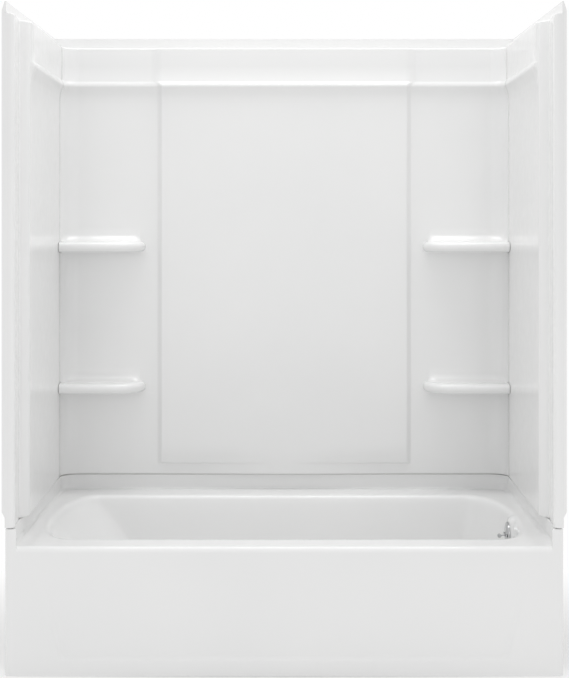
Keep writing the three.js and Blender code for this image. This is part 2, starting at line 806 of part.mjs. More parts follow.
/** Post from the floor to the underside of the back ledge. */
function deckSupport() {
  const left = deckPost.fromEnd - halfLength;
  const back = unit.depth - deckPost.fromBack;
  const top = bath.deckHeight - bath.wall - gap;
  return box([left, back - deckPost.depth, 0], [left + deckPost.width, back, top]);
}

// Waste fittings: places along the drain's and the overflow's axes
const shoeTop = bossFoot - shoe.gasket - 2 * gap;
const branchZ = shoeTop - shoe.flangeThickness - gap - waste.bodyRadius;
const flangeFace = overflowSeat + bath.wall + gap + overflow.gasket + gap;
const plateFace = overflowSeat - gap;
const pivotX = plateFace - lever.pivotInset;
const armLength = tubeX - pivotX;
const armRise = THREE.MathUtils.degToRad(lever.armRise);
const armFall = THREE.MathUtils.degToRad(lever.throw - lever.armRise);
const rodTravel = armLength * (Math.sin(armRise) + Math.sin(armFall));
const elbowFoot = overflowZ - overflow.elbowDrop - waste.socket;
const teeTop = branchZ + tee.topRise;
const teeFoot = tee.outletClearance;

/** Hexagon nut with a lip, its open end up, for a pipe joint whose end face is at zero. */
function slipNut() {
  const across = waste.nutFlats / Math.sqrt(3);
  const top = waste.nutHeight - waste.nutLip - waste.washer - 2 * gap;
  const low = top - waste.nutHeight;
  const body = solidOf(bar(across, low, top, 6));
  return cut(body, [
    solidOf(bar(waste.bodyRadius + waste.fit, low + waste.nutLip, top + overrun, pipeSides)),
    solidOf(bar(waste.tubeRadius + waste.fit, low - overrun, top + overrun, pipeSides)),
  ]);
}

/** Rubber ring of a pipe joint, just below the end face at zero. */
const slipWasher = () =>
  solidOf(tube(waste.bodyRadius, waste.tubeRadius + gap, -gap - waste.washer, -gap, pipeSides));

function drainFlange() {
  const { flangeRadius, flangeThickness, neckRadius, neckBore, neckLength, crossBar } = drain;
  const ring = solidOf(turned([
    [neckBore, -neckLength],
    [neckRadius, -neckLength],
    [neckRadius, 0],
    [flangeRadius, 0],
    [flangeRadius, flangeThickness / 2],
    [flangeRadius - flangeThickness, flangeThickness],
    [drain.strainerRadius + gap, flangeThickness],
    [drain.strainerRadius + gap, flangeThickness / 4],
    [neckBore, flangeThickness / 4],
    [neckBore, -neckLength],
  ], plateSides));
  const reach = neckRadius - (neckRadius - neckBore) / 2;
  const foot = -drain.screwLength - crossBar / 2;
  const spokes = [
    box([-reach, -crossBar, foot], [reach, crossBar, foot + crossBar]),
    box([-crossBar / 2, -reach, foot], [crossBar / 2, reach, foot + crossBar]),
  ];
  const bore = solidOf(bar(drain.screwRadius + gap, foot - overrun, overrun, smallSides));
  return joined([ring, ...spokes]).subtract(bore);
}

function strainer() {
  const low = drain.flangeThickness / 4 + gap;
  const plate = solidOf(bar(drain.strainerRadius, low, low + drain.strainerThickness, plateSides));
  const holes = Array.from({ length: drain.strainerHoles }, (_, i) => {
    const angle = (2 * Math.PI * i) / drain.strainerHoles;
    const hole = bar(drain.strainerHole, low - overrun, low + overrun, smallSides);
    return placed(hole, drain.strainerRing * Math.cos(angle), drain.strainerRing * Math.sin(angle), 0);
  });
  return cut(plate, [...holes, solidOf(bar(drain.screwRadius + gap, low - overrun, low + overrun, smallSides))]);
}

function strainerScrew() {
  const seat = drain.flangeThickness / 4 + drain.strainerThickness + 2 * gap;
  return solidOf(turned([
    [0, -drain.screwLength - drain.crossBar],
    [drain.screwRadius, -drain.screwLength - drain.crossBar],
    [drain.screwRadius, seat],
    [drain.screwHead, seat],
    [drain.screwHead, seat + drain.screwRadius / 4],
    [drain.screwHead / 2, seat + drain.screwRadius],
    [0, seat + drain.screwRadius],
  ], smallSides));
}

/** Cup under the drain, with a socket for the tube that leads to the tee. */
function drainShoe() {
  const { radius, flangeRadius, flangeThickness, bore } = shoe;
  const foot = branchZ - waste.bodyRadius;
  const cup = solidOf(turned([
    [0, foot],
    [radius, foot],
    [radius, shoeTop - flangeThickness],
    [flangeRadius, shoeTop - flangeThickness],
    [flangeRadius, shoeTop],
    [0, shoeTop],
  ], plateSides));
  const spout = placed(bar(waste.bodyRadius, 0, radius + waste.socket, pipeSides, 'x'), 0, 0, branchZ);
  return cut(cup.add(spout), [
    solidOf(bar(bore, branchZ - waste.tubeBore, shoeTop + overrun, plateSides)),
    placed(bar(waste.tubeBore, 0, radius + overrun, pipeSides, 'x'), 0, 0, branchZ),
    placed(bar(waste.tubeRadius + gap, radius, radius + waste.socket + overrun, pipeSides, 'x'), 0, 0, branchZ),
  ]);
}

/** Tee that joins the drain's tube, the overflow's tube and the outlet. */
function wasteTee() {
  const { bodyRadius, tubeBore, tubeRadius, socket } = waste;
  const run = solidOf(bar(bodyRadius, teeFoot, teeTop, pipeSides));
  const branch = placed(bar(bodyRadius, -tee.sideReach, 0, pipeSides, 'x'), 0, 0, branchZ);
  const seatTop = teeFoot + tee.seatThickness;
  return cut(run.add(branch), [
    solidOf(bar(tubeBore, seatTop, teeTop + overrun, pipeSides)),
    solidOf(bar(tee.seatBore, teeFoot - overrun, teeTop, pipeSides)),
    placed(bar(tubeBore, -tee.sideReach - overrun, 0, pipeSides, 'x'), 0, 0, branchZ),
    solidOf(bar(tubeRadius + gap, teeTop - socket / 2, teeTop + overrun, pipeSides)),
    placed(bar(tubeRadius + gap, -tee.sideReach - overrun, socket / 3 - tee.sideReach, pipeSides, 'x'), 0, 0, branchZ),
  ]);
}

/** Elbow behind the overflow: a flange on the bath, a round corner and a socket for the tube. */
function overflowElbow() {
  const { flangeRadius, flangeThickness } = overflow;
  const start = flangeFace - tubeX;
  const foot = elbowFoot - overflowZ;
  const corner = (radius, from, to) => joined([
    bar(radius, from, 0, pipeSides, 'x'),
    bar(radius, to, 0, pipeSides),
    new THREE.SphereGeometry(radius, pipeSides, pipeSides / 2),
  ].map(solidOf));
  const flange = solidOf(bar(flangeRadius, start, start + flangeThickness, plateSides, 'x'));
  const body = flange.add(corner(waste.bodyRadius, start, foot));
  const threads = [-1, 1].map((side) => placed(
    bar(overflow.screwRadius + gap, start - overrun, start + flangeThickness + overrun, smallSides, 'x'),
    0, side * overflow.screwRing, 0,
  ));
  return cut(body, [
    corner(waste.tubeBore, start - overrun, foot - overrun),
    solidOf(bar(waste.tubeRadius + gap, foot - overrun, foot + waste.socket, pipeSides)),
    ...threads,
  ]);
}

/** Domed plate over the overflow, with two ears inside it that hold the lever's pin. */
function overflowPlate() {
  const { plateRadius, domeHeight, plateThickness, rimHeight, screwRing, screwRadius } = overflow;
  const dome = (radius, height, floor) => {
    const crown = arc([0, floor], [radius, height - floor], 0, 90, 2 * quarterSteps);
    return crown.map(([r, up]) => [r, -up]);
  };
  const outer = solidOf(turned([[0, 0], [plateRadius, 0], ...dome(plateRadius, domeHeight, rimHeight)], plateSides, 'x'));
  const innerRadius = plateRadius - plateThickness;
  const inner = solidOf(turned(
    [[0, overrun], [innerRadius, overrun], ...dome(innerRadius, domeHeight - plateThickness, rimHeight)],
    plateSides, 'x',
  ));
  const ears = [-1, 1].map((side) => {
    const near = side * (lever.slotWidth / 2);
    const far = near + side * lever.earThickness;
    return box(
      [-domeHeight + plateThickness / 2, Math.min(near, far), -lever.earHeight / 2],
      [0, Math.max(near, far), lever.earHeight / 2],
    );
  });
  const half = lever.slotWidth / 2;
  const slot = box(
    [-domeHeight - overrun, -half, -lever.slotHeight / 2],
    [overrun, half, lever.slotHeight / 2],
  );
  const screwHoles = [-1, 1].map((side) => placed(
    bar(screwRadius + gap, -overrun - domeHeight, overrun, smallSides, 'x'), 0, side * screwRing, 0,
  ));
  const pinHole = placed(
    bar(lever.pinRadius + gap, -overrun, overrun, smallSides, 'y'), -lever.pivotInset, 0, 0,
  );
  return cut(outer.subtract(inner).add(joined(ears)), [slot, ...screwHoles, pinHole]);
}

/** Height of the dome's outside above the plate's rim, at a distance from its centre. */
function domeAt(distance) {
  const share = Math.sqrt(1 - (distance / overflow.plateRadius) ** 2);
  return overflow.rimHeight + (overflow.domeHeight - overflow.rimHeight) * share;
}

/** Screw that holds the overflow plate to the elbow's flange, on one side of the lever. */
function overflowScrew(side) {
  const { screwRing, screwRadius, screwHead, screwHeadHeight, flangeThickness } = overflow;
  const seat = -domeAt(screwRing - screwHead) - gap;
  const end = flangeFace + flangeThickness - plateFace;
  return placed(turned([
    [0, end],
    [screwRadius, end],
    [screwRadius, seat],
    [screwHead, seat],
    [screwHead, seat - screwHeadHeight / 3],
    [screwHead / 2, seat - screwHeadHeight],
    [0, seat - screwHeadHeight],
  ], smallSides, 'x'), 0, side * screwRing, 0);
}

/** Lever about its pivot: handle outside the plate, arm and stud inside the elbow. */
function tripLever() {
  const { width, thickness, handleReach, grip, gripThickness, hubRadius, pinRadius } = lever;
  const half = thickness / 2;
  const handle = [
    [0, -half],
    [0, half],
    [-handleReach + grip, half],
    ...arc([-handleReach + grip / 2, 0], [grip / 2, gripThickness], 60, 300, 2 * quarterSteps),
    [-handleReach + grip, -half],
  ];
  const tip = armLength + lever.studRadius + half;
  const arm = [[0, -half], [tip, -half], [tip, half], [0, half]];
  const slab = (section) => prismAlongY(section, -width / 2, width / 2);
  const body = joined([
    slab(handle),
    slab(arm),
    solidOf(bar(hubRadius, -width / 2, width / 2, smallSides, 'y')),
    placed(bar(lever.studRadius, 0, width / 2 + lever.studReach, smallSides, 'y'), armLength, 0, 0),
  ]);
  return body.subtract(solidOf(bar(pinRadius + gap, -width, width, smallSides, 'y')));
}

/** Rod from the lever's stud down to the plunger, its slotted eye round the stud at zero. */
function liftRod(length) {
  const { radius, eyeLength, eyeHeight, eyeThickness, slotLength, slotHeight } = rod;
  const near = lever.width / 2 + 2 * gap;
  const middle = (armLength * (Math.cos(armFall) - 1)) / 2;
  const eye = box(
    [middle - eyeLength / 2, near, -eyeHeight / 2],
    [middle + eyeLength / 2, near + eyeThickness, eyeHeight / 2],
  );
  const slot = box(
    [middle - slotLength / 2, near - overrun, -slotHeight / 2],
    [middle + slotLength / 2, near + overrun, slotHeight / 2],
  );
  const shank = placed(bar(radius, -length, -slotHeight / 2 - radius, smallSides), 0, near + eyeThickness / 2, 0);
  const foot = box(
    [-radius, near, -eyeHeight],
    [radius, near + eyeThickness, -slotHeight / 2 - gap],
  );
  return joined([eye.subtract(slot), shank, foot]);
}

function plungerBody() {
  const { radius, length, taper, bore, socket } = plunger;
  const near = lever.width / 2 + 2 * gap + rod.eyeThickness / 2;
  const body = solidOf(turned([
    [0, 0],
    [radius - taper, 0],
    [radius, taper],
    [radius, length],
    [0, length],
  ], pipeSides));
  return body.subtract(placed(bar(bore, length - socket, length + overrun, smallSides), 0, near, 0));
}

// Finishes
const finish = (color, roughness, metalness) => ({ color, roughness, metalness });
const finishes = {
  acrylic: finish(0xe9e9e8, 0.2, 0),
  foam: finish(0x8b8d8f, 0.9, 0),
  spring: finish(0x9a9c9e, 0.4, 1),
  timber: finish(0xc8aa78, 0.8, 0),
  chrome: finish(0xd8dadc, 0.08, 1),
  brass: finish(0xb9974f, 0.35, 1),
  rubber: finish(0x2c2d2e, 0.8, 0),
};

const model = new THREE.Group();
model.position.y = -unit.depth / 2;

/** Adds a finished solid to a group as one named piece. */
function piece(name, solid, material, parent = model) {
  const mesh = new THREE.Mesh(geometryOf(solid), new THREE.MeshStandardMaterial(finishes[material]));
  mesh.name = name;
  parent.add(mesh);
  return mesh;
}

/** A group at a place in another group. */
function groupAt(x, y, z, parent = model) {
  const group = new THREE.Group();
  group.position.set(x, y, z);
  parent.add(group);
  return group;
}

piece('bath_shell', bathShell(), 'acrylic');
const leftWall = leftEndWall();
piece('left_end_wall', leftWall, 'acrylic');
piece('right_end_wall', mirroredSolid(leftWall), 'acrylic');
piece('back_wall', backWallPanel(), 'acrylic');
piece('base_seal_left', endSeal(), 'foam');
piece('base_seal_right', mirroredSolid(endSeal()), 'foam');
piece('base_seal_back', backSeal(), 'foam');
for (let number = 1; number <= clip.count; number += 1) {
  piece(`seam_clip_left_${number}`, seamClip(number), 'spring');
  piece(`seam_clip_right_${number}`, mirroredSolid(seamClip(number)), 'spring');
}

const floorFront = basin.frontLedge + basin.rimRadius / 2 + basin.sideRun;
const floorBack = unit.depth - basin.backLedge - basin.rimRadius / 2 - basin.sideRun;
piece('floor_runner_front', floorRunner(floorFront + runner.inset), 'timber');
piece('floor_runner_rear', floorRunner(floorBack - runner.inset - runner.width), 'timber');
piece('deck_post_left', deckSupport(), 'timber');
piece('deck_post_right', mirroredSolid(deckSupport()), 'timber');

const atDrain = groupAt(drainX, wellMiddle, 0);
const atDrainSeat = groupAt(0, 0, drainSeat + gap, atDrain);
piece('drain_flange', drainFlange(), 'chrome', atDrainSeat);
piece('strainer', strainer(), 'chrome', atDrainSeat);
piece('strainer_screw', strainerScrew(), 'chrome', atDrainSeat);
const shoeGasket = tube(shoe.flangeRadius, shoe.bore, shoeTop + gap, shoeTop + gap + shoe.gasket, plateSides);
piece('shoe_gasket', solidOf(shoeGasket), 'rubber', atDrain);
piece('drain_shoe', drainShoe(), 'brass', atDrain);

const atTee = groupAt(tubeX, wellMiddle, 0);
piece('waste_tee', wasteTee(), 'brass', atTee);
const tubeStart = drainX + shoe.radius + gap;
const tubeEnd = tubeX - tee.sideReach + waste.socket / 3 - gap;
const shoeTube = tube(waste.tubeRadius, waste.tubeBore, tubeStart - tubeX, tubeEnd - tubeX, pipeSides, 'x');
piece('shoe_tube', placed(shoeTube, 0, 0, branchZ), 'brass', atTee);
const overflowTube = tube(
  waste.tubeRadius, waste.tubeBore, teeTop - waste.socket / 2 + gap, elbowFoot + waste.socket - gap, pipeSides,
);
piece('overflow_tube', solidOf(overflowTube), 'brass', atTee);

/** Nut and rubber ring of one pipe joint, in a group that puts its end face in place. */
function slipJoint(name, place) {
  piece(`${name}_slip_nut`, slipNut(), 'chrome', place);
  piece(`${name}_slip_washer`, slipWasher(), 'rubber', place);
}
slipJoint('upper', groupAt(0, 0, elbowFoot, atTee));
const lowerJoint = groupAt(0, 0, teeTop, atTee);
lowerJoint.rotation.x = Math.PI;
slipJoint('lower', lowerJoint);
const branchJoint = groupAt(-tee.sideReach, 0, branchZ, atTee);
branchJoint.rotation.y = Math.PI / 2;
slipJoint('branch', branchJoint);

const outlet = groupAt(0, 0, teeFoot, atTee);
piece('outlet_nut', slipNut(), 'chrome', outlet);
const tailpiece = turned([
  [tee.seatBore, -gap],
  [waste.bodyRadius, -gap],
  [waste.bodyRadius, -gap - waste.washer],
  [waste.tubeRadius, -gap - waste.washer],
  [waste.tubeRadius, tailEnd - teeFoot],
  [waste.tubeBore, tailEnd - teeFoot],
  [waste.tubeBore, -gap - waste.washer],
  [tee.seatBore, -gap - waste.washer],
  [tee.seatBore, -gap],
], pipeSides);
piece('tailpiece', solidOf(tailpiece), 'brass', outlet);

const atOverflow = groupAt(0, wellMiddle, overflowZ);
const gasketStart = overflowSeat + bath.wall + gap;
const overflowGasket = tube(
  overflow.flangeRadius, overflow.holeRadius, gasketStart, gasketStart + overflow.gasket, plateSides, 'x',
);
piece('overflow_gasket', solidOf(overflowGasket), 'rubber', atOverflow);
piece('overflow_elbow', overflowElbow(), 'brass', groupAt(tubeX, 0, 0, atOverflow));
const atPlate = groupAt(plateFace, 0, 0, atOverflow);
piece('overflow_plate', overflowPlate(), 'chrome', atPlate);
piece('overflow_screw_front', overflowScrew(-1), 'chrome', atPlate);
piece('overflow_screw_back', overflowScrew(1), 'chrome', atPlate);
const pinHalf = lever.slotWidth / 2 + lever.earThickness;
const atPivot = groupAt(-lever.pivotInset, 0, 0, atPlate);
piece('lever_pin', solidOf(bar(lever.pinRadius, -pinHalf, pinHalf, smallSides, 'y')), 'spring', atPivot);
const tilt = groupAt(0, 0, 0, atPivot);
tilt.rotation.y = -armRise;
piece('trip_lever', tripLever(), 'chrome', tilt);

const studHeight = overflowZ + armLength * Math.sin(armRise);
const plungerFoot = teeFoot + tee.seatThickness + gap + rodTravel;
const rodFoot = plungerFoot + plunger.length - plunger.socket + gap;
const atStud = groupAt(tubeX, wellMiddle, studHeight);
piece('lift_rod', liftRod(studHeight - rodFoot), 'brass', atStud);
piece('plunger', plungerBody(), 'brass', groupAt(0, 0, plungerFoot, atTee));

export default model;
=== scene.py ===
"""Tub and shower unit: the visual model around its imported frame.

Shapes are drawn in millimetres, X from the middle of the unit, Y back from its front
plane and Z up from the floor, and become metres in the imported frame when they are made.
"""
from math import acos, atan2, ceil, copysign, cos, degrees, dist, hypot, pi, radians, sin, sqrt, tan
from types import SimpleNamespace as Sizes

import bmesh
import bpy
import numpy as np
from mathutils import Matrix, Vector
from numpy import linspace
from numpy.linalg import norm

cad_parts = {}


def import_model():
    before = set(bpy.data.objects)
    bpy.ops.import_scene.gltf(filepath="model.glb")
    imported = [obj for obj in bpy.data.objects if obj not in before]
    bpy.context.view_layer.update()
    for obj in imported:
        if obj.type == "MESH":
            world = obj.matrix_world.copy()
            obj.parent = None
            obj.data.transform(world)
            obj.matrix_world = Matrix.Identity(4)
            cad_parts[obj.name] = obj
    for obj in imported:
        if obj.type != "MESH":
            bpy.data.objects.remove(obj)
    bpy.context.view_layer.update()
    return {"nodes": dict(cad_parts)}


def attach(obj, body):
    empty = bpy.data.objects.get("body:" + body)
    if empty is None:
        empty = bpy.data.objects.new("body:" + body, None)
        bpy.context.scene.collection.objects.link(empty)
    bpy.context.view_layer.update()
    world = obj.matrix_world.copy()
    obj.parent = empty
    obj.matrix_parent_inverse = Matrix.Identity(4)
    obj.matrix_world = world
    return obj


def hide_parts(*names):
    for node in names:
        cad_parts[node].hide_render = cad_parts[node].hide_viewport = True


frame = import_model()

# Overall sizes
LENGTH, DEPTH, HEIGHT = 1524.0, 762.0, 1839.0
HALF = LENGTH / 2
DECK = 351.0
BAND_TOP = 400.0
WALL_BOTTOM = 402.6
LEDGE = 1806.0
SKIN = 5.0
SHEET = 4.0
TINY = 1e-6


# Small tools for curves and meshes

def smooth_table(xs, ys, flat_end=False):
    """A smooth curve through a table that never overshoots its points."""
    xs, ys = np.asarray(xs, float), np.asarray(ys, float)
    h = np.diff(xs)
    d = np.diff(ys) / h
    m = np.zeros(len(xs))
    for i in range(1, len(xs) - 1):
        if d[i - 1] * d[i] > 0:
            w1, w2 = 2 * h[i] + h[i - 1], h[i] + 2 * h[i - 1]
            m[i] = (w1 + w2) / (w1 / d[i - 1] + w2 / d[i])
    m[0], m[-1] = d[0], 0 if flat_end else d[-1]

    def value(x):
        x = np.clip(np.asarray(x, float), xs[0], xs[-1])
        i = np.clip(np.searchsorted(xs, x, side="right") - 1, 0, len(xs) - 2)
        t = (x - xs[i]) / h[i]
        return (ys[i] * (1 + 2 * t) * (1 - t) ** 2 + ys[i + 1] * t * t * (3 - 2 * t)
                + h[i] * (m[i] * t * (1 - t) ** 2 - m[i + 1] * t * t * (1 - t)))
    return value


def ease(t):
    """An S-shaped rise from 0 to 1."""
    return (1 - np.cos(np.pi * np.clip(t, 0, 1))) / 2


def lerp(a, b, t):
    return a + (b - a) * t


def line(a, b, shares):
    """Points of a straight line at shares of its length."""
    return [tuple(lerp(p, q, t) for p, q in zip(a, b)) for t in shares]


def arc(centre, radius, start, end, steps):
    """Points of a round arc in a plane, both ends included, angles in degrees."""
    angles = np.radians(linspace(start, end, steps + 1))
    return [(centre[0] + radius * cos(a), centre[1] + radius * sin(a)) for a in angles]


def unit_arc(start, end, steps):
    return arc((0, 0), 1, start, end, steps)


def resampled(points, spacing):
    """A plan path cut into even steps, its own points kept."""
    out = [points[0]]
    for a, b in zip(points, points[1:]):
        count = max(1, int(round(dist(a, b) / spacing)))
        out += line(a, b, [i / count for i in range(1, count + 1)])
    return out


def run_along(points):
    """Running length at each point of a path."""
    return np.concatenate([[0], np.cumsum(norm(np.diff(points, axis=0), axis=1))])


def mirrored_path(points):
    return [(-x, y) for x, y in reversed(points)]


class Shell:
    """Grids of points in millimetres, joined into one skin."""

    def __init__(self):
        self.points, self.faces = [], []

    def grid(self, rows, closed=False, flip=False):
        start, count = len(self.points), len(rows[0])
        self.points += [tuple(map(float, p)) for row in rows for p in row]
        for low in range(start, len(self.points) - count, count):
            for c in range(count if closed else count - 1):
                n = (c + 1) % count
                quad = [low + c, low + n, low + count + n, low + count + c]
                self.faces.append(quad[::-1] if flip else quad)
        return self

    def fan(self, outline, flip=False):
        start = len(self.points)
        self.points += [tuple(map(float, p)) for p in outline]
        face = list(range(start, len(self.points)))
        self.faces.append(face[::-1] if flip else face)


def configured(thing, **settings):
    for name, value in settings.items():
        setattr(thing, name, value)
    return thing


def linked(name, data):
    thing = bpy.data.objects.new(name, data)
    bpy.context.scene.collection.objects.link(thing)
    return thing


def make_object(name, shell, merge=0.02, outwards=False):
    """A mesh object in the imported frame's metres, its coincident points merged."""
    mesh = bpy.data.meshes.new(name)
    mesh.from_pydata([(x / 1000, (y - DEPTH / 2) / 1000, z / 1000) for x, y, z in shell.points], [], shell.faces)
    work = bmesh.new()
    work.from_mesh(mesh)
    bmesh.ops.remove_doubles(work, verts=work.verts, dist=merge / 1000)
    bmesh.ops.dissolve_degenerate(work, edges=work.edges, dist=merge / 2000)
    bmesh.ops.delete(work, geom=[v for v in work.verts if not v.link_faces], context="VERTS")
    if outwards:
        bmesh.ops.recalc_face_normals(work, faces=work.faces)
    work.to_mesh(mesh)
    work.free()
    return linked(name, mesh)


def shade(thing, angle):
    """Smooth faces, with edges sharper than an angle kept crisp."""
    thing.data.shade_smooth()
    thing.data.set_sharp_from_angle(angle=radians(angle))
    return thing


def changed(thing, kind, **settings):
    """Bakes a modifier into an object's mesh."""
    configured(thing.modifiers.new("change", kind), **settings)
    bpy.context.view_layer.update()
    mesh = bpy.data.meshes.new_from_object(thing.evaluated_get(bpy.context.evaluated_depsgraph_get()))
    thing.modifiers.clear()
    thing.data = mesh
    return thing


def thickened(thing, thickness):
    """Gives a skin its thickness behind its visible side."""
    return changed(thing, "SOLIDIFY", thickness=thickness / 1000, offset=-1, use_even_offset=False,
                   use_quality_normals=True)


# Materials

class Wiring:
    """Adds nodes to a material or the world. An input is a value or another node's output."""

    def __init__(self, owner):
        owner.use_nodes = True
        self.owner, self.tree = owner, owner.node_tree

    def wire(self, node, inputs):
        for name, value in inputs.items():
            if isinstance(value, bpy.types.NodeSocket):
                self.tree.links.new(value, node.inputs[name])
            else:
                node.inputs[name].default_value = value

    def add(self, kind, output, inputs, **settings):
        node = configured(self.tree.nodes.new("ShaderNode" + kind), **settings)
        self.wire(node, inputs)
        return node.outputs[output]

    def surface(self, colour, roughness, normal=None, **others):
        """Wires a material's main shader, and returns the material."""
        others |= {"Normal": normal} if normal else {}
        self.wire(self.tree.nodes["Principled BSDF"], {"Base Color": colour, "Roughness": roughness, **others})
        return self.owner

    def place(self, scale=None):
        """Object-space place, stretched by a scale."""
        where = self.add("TexCoord", "Object", {})
        return self.add("Mapping", "Vector", {"Vector": where, "Scale": scale}) if scale else where

    def noise(self, where, scale, detail=3.0, roughness=0.5, distortion=0.0):
        return self.add("TexNoise", "Fac", {"Vector": where, "Scale": scale, "Detail": detail,
                                            "Roughness": roughness, "Distortion": distortion})

    def ranged(self, value, low, high, start=0.0, stop=1.0):
        return self.add("MapRange", "Result", {"Value": value, "From Min": start, "From Max": stop,
                                               "To Min": low, "To Max": high})

    def mixed(self, factor, *colours, **settings):
        first, second = (c if isinstance(c, bpy.types.NodeSocket) else (*c, 1) for c in colours)
        return self.add("Mix", "Result", {"Factor": factor, "A": first, "B": second}, data_type="RGBA", **settings)

    def bump(self, height, strength, distance, **under):
        return self.add("Bump", "Normal", {"Height": height, "Strength": strength, "Distance": distance, **under})


def new_material(name):
    return Wiring(bpy.data.materials.new(name))


def acrylic_material():
    """White moulded acrylic: high gloss, faint waviness, slightly uneven polish."""
    kit = new_material("acrylic_white")
    where = kit.place()
    tint = kit.ranged(kit.noise(where, 2.2, 2.0), 0, 1, 0.3, 0.7)
    wave = kit.bump(kit.noise(where, 5.5, 1.0), 0.1, 0.0012)
    return kit.surface(kit.mixed(tint, (0.835, 0.837, 0.835), (0.855, 0.855, 0.852)),
                       kit.ranged(kit.noise(where, 38.0, 5.0, 0.6), 0.13, 0.19, 0.3, 0.7),
                       kit.bump(kit.noise(where, 260.0, 2.0), 0.05, 0.0002, Normal=wave), IOR=1.49)


def metal_material(name, low, high, roughness, worn, scale):
    """Polished or cast metal: uneven tone, fine scratches and a slightly uneven shine."""
    kit = new_material(name)
    where = kit.place()
    tone = kit.ranged(kit.noise(where, scale, 4.0, 0.6), 0, 1, 0.3, 0.7)
    shine = kit.noise(where, scale * 9, 6.0, 0.7)
    fine = kit.noise(kit.place((1, 1, 12)), scale * 30, 3.0, 0.6)
    return kit.surface(kit.mixed(tone, low, high), kit.ranged(shine, roughness, worn, 0.35, 0.7),
                       kit.bump(fine, 0.12, 0.00012), Metallic=1.0)


def rubber_material():
    """Black moulded rubber with a dusty bloom."""
    kit = new_material("rubber_black")
    where = kit.place()
    bloom = kit.noise(where, 60.0, 6.0, 0.65)
    dust = kit.ranged(bloom, 0, 1, 0.4, 0.75)
    return kit.surface(kit.mixed(dust, (0.022, 0.022, 0.023), (0.06, 0.06, 0.058)), kit.ranged(bloom, 0.62, 0.85),
                       kit.bump(kit.noise(where, 900.0), 0.2, 0.0002))


def foam_material():
    """Pale closed-cell foam with small pores, painted darker as shade in them."""
    kit = new_material("foam_pale")
    cells = kit.add("TexVoronoi", "Distance", {"Vector": kit.place(), "Scale": 900.0})
    # Painted shade: each pore's hollow is coloured darker; the pores' bump below is real relief.
    shaded_pores = kit.ranged(cells, 1, 0, 0.0, 0.5)
    return kit.surface(kit.mixed(shaded_pores, (0.74, 0.74, 0.72), (0.56, 0.56, 0.545)), kit.ranged(shaded_pores, 0.85, 0.95),
                       kit.bump(cells, 0.4, 0.0003))


def timber_material(name, stretch):
    """Planed softwood: growth rings drawn out along the grain, fine fibres and a few darker streaks."""
    kit = new_material(name)
    along = kit.place(stretch)
    fibre = kit.noise(along, 190.0, 5.0, 0.7)
    rings = kit.ranged(kit.noise(along, 26.0, 2.0, distortion=0.6), 0, 1, 0.36, 0.62)
    grain = kit.mixed(rings, (0.50, 0.335, 0.17), (0.63, 0.46, 0.27))
    streaks = kit.mixed(kit.ranged(fibre, 0, 1, 0.35, 0.65), (0.72, 0.66, 0.58), (1, 1, 1))
    return kit.surface(kit.mixed(0.35, grain, streaks, blend_type="MULTIPLY"),
                       kit.ranged(kit.noise(along, 2.2), 0.6, 0.8), kit.bump(fibre, 0.25, 0.0004))


FINISHES = {
    "acrylic": acrylic_material(),
    "chrome": metal_material("chrome_polished", (0.50, 0.51, 0.52), (0.60, 0.605, 0.61), 0.05, 0.12, 24.0),
    "brass": metal_material("brass_cast", (0.50, 0.34, 0.115), (0.66, 0.48, 0.2), 0.26, 0.46, 30.0),
    "spring": metal_material("steel_zinc", (0.42, 0.44, 0.46), (0.56, 0.57, 0.57), 0.3, 0.5, 60.0),
    "rubber": rubber_material()}


def finish_piece(thing, slot, body, node):
    """Material, slot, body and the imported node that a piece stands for."""
    thing.data.materials.clear()
    thing.data.materials.append(FINISHES[slot])
    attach(thing, body)
    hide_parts(node)


# Bath

BAND = Sizes(front_width=33.0, turn_depth=36.0, waist=20.0, waist_depth=95.0, rear_width=30.0,
             back_width=15.0, corner=50.0, cove=8.0, edge=3.5)
NOSE = 16.0
NOSE_FOOT = DECK - NOSE
NOSE_STEPS = 8
OUTER_CORNER = 12.0
APRON_RETURN = 60.0
BASIN = Sizes(left=689.0, right=693.0, front=92.0, back=112.0, rim=16.0, floor=98.0, fall=6.0,
              backrest_run=228.0, drain_run=85.0, side_run=60.0)
# How far the well's round ends reach at the front and at the back, on the right and on the left
END_REACH = ((130.0, 130.0), (110.0, 90.0))
END_POWER = (2 / 3, 1.0)
DOWN = [0, 0.3, 0.6, 0.8, 0.92, 0.98, 1]
BACKREST_IN = [0, 0.255, 0.51, 0.7, 0.85, 0.94, 1]
DRAIN_IN = [0, 0.153, 0.294, 0.488, 0.718, 0.876, 1]
SIDE_IN = [0, 0.18, 0.38, 0.55, 0.74, 0.88, 1]
DRAIN_X = 572.0
WELL_MIDDLE = (BASIN.front + DEPTH - BASIN.back) / 2
OVERFLOW_Z = 294.0
OVERFLOW_SEAT = 674.85
OVERFLOW_HOLE = 25.0
NEAR_OVERFLOW = 620.0
END_STEPS = 30
FRONT_STEPS = 240


def floor_at(x):
    left = BASIN.backrest_run - BASIN.left
    right = BASIN.right - BASIN.drain_run
    return BASIN.floor + BASIN.fall * (right - x) / (right - left)


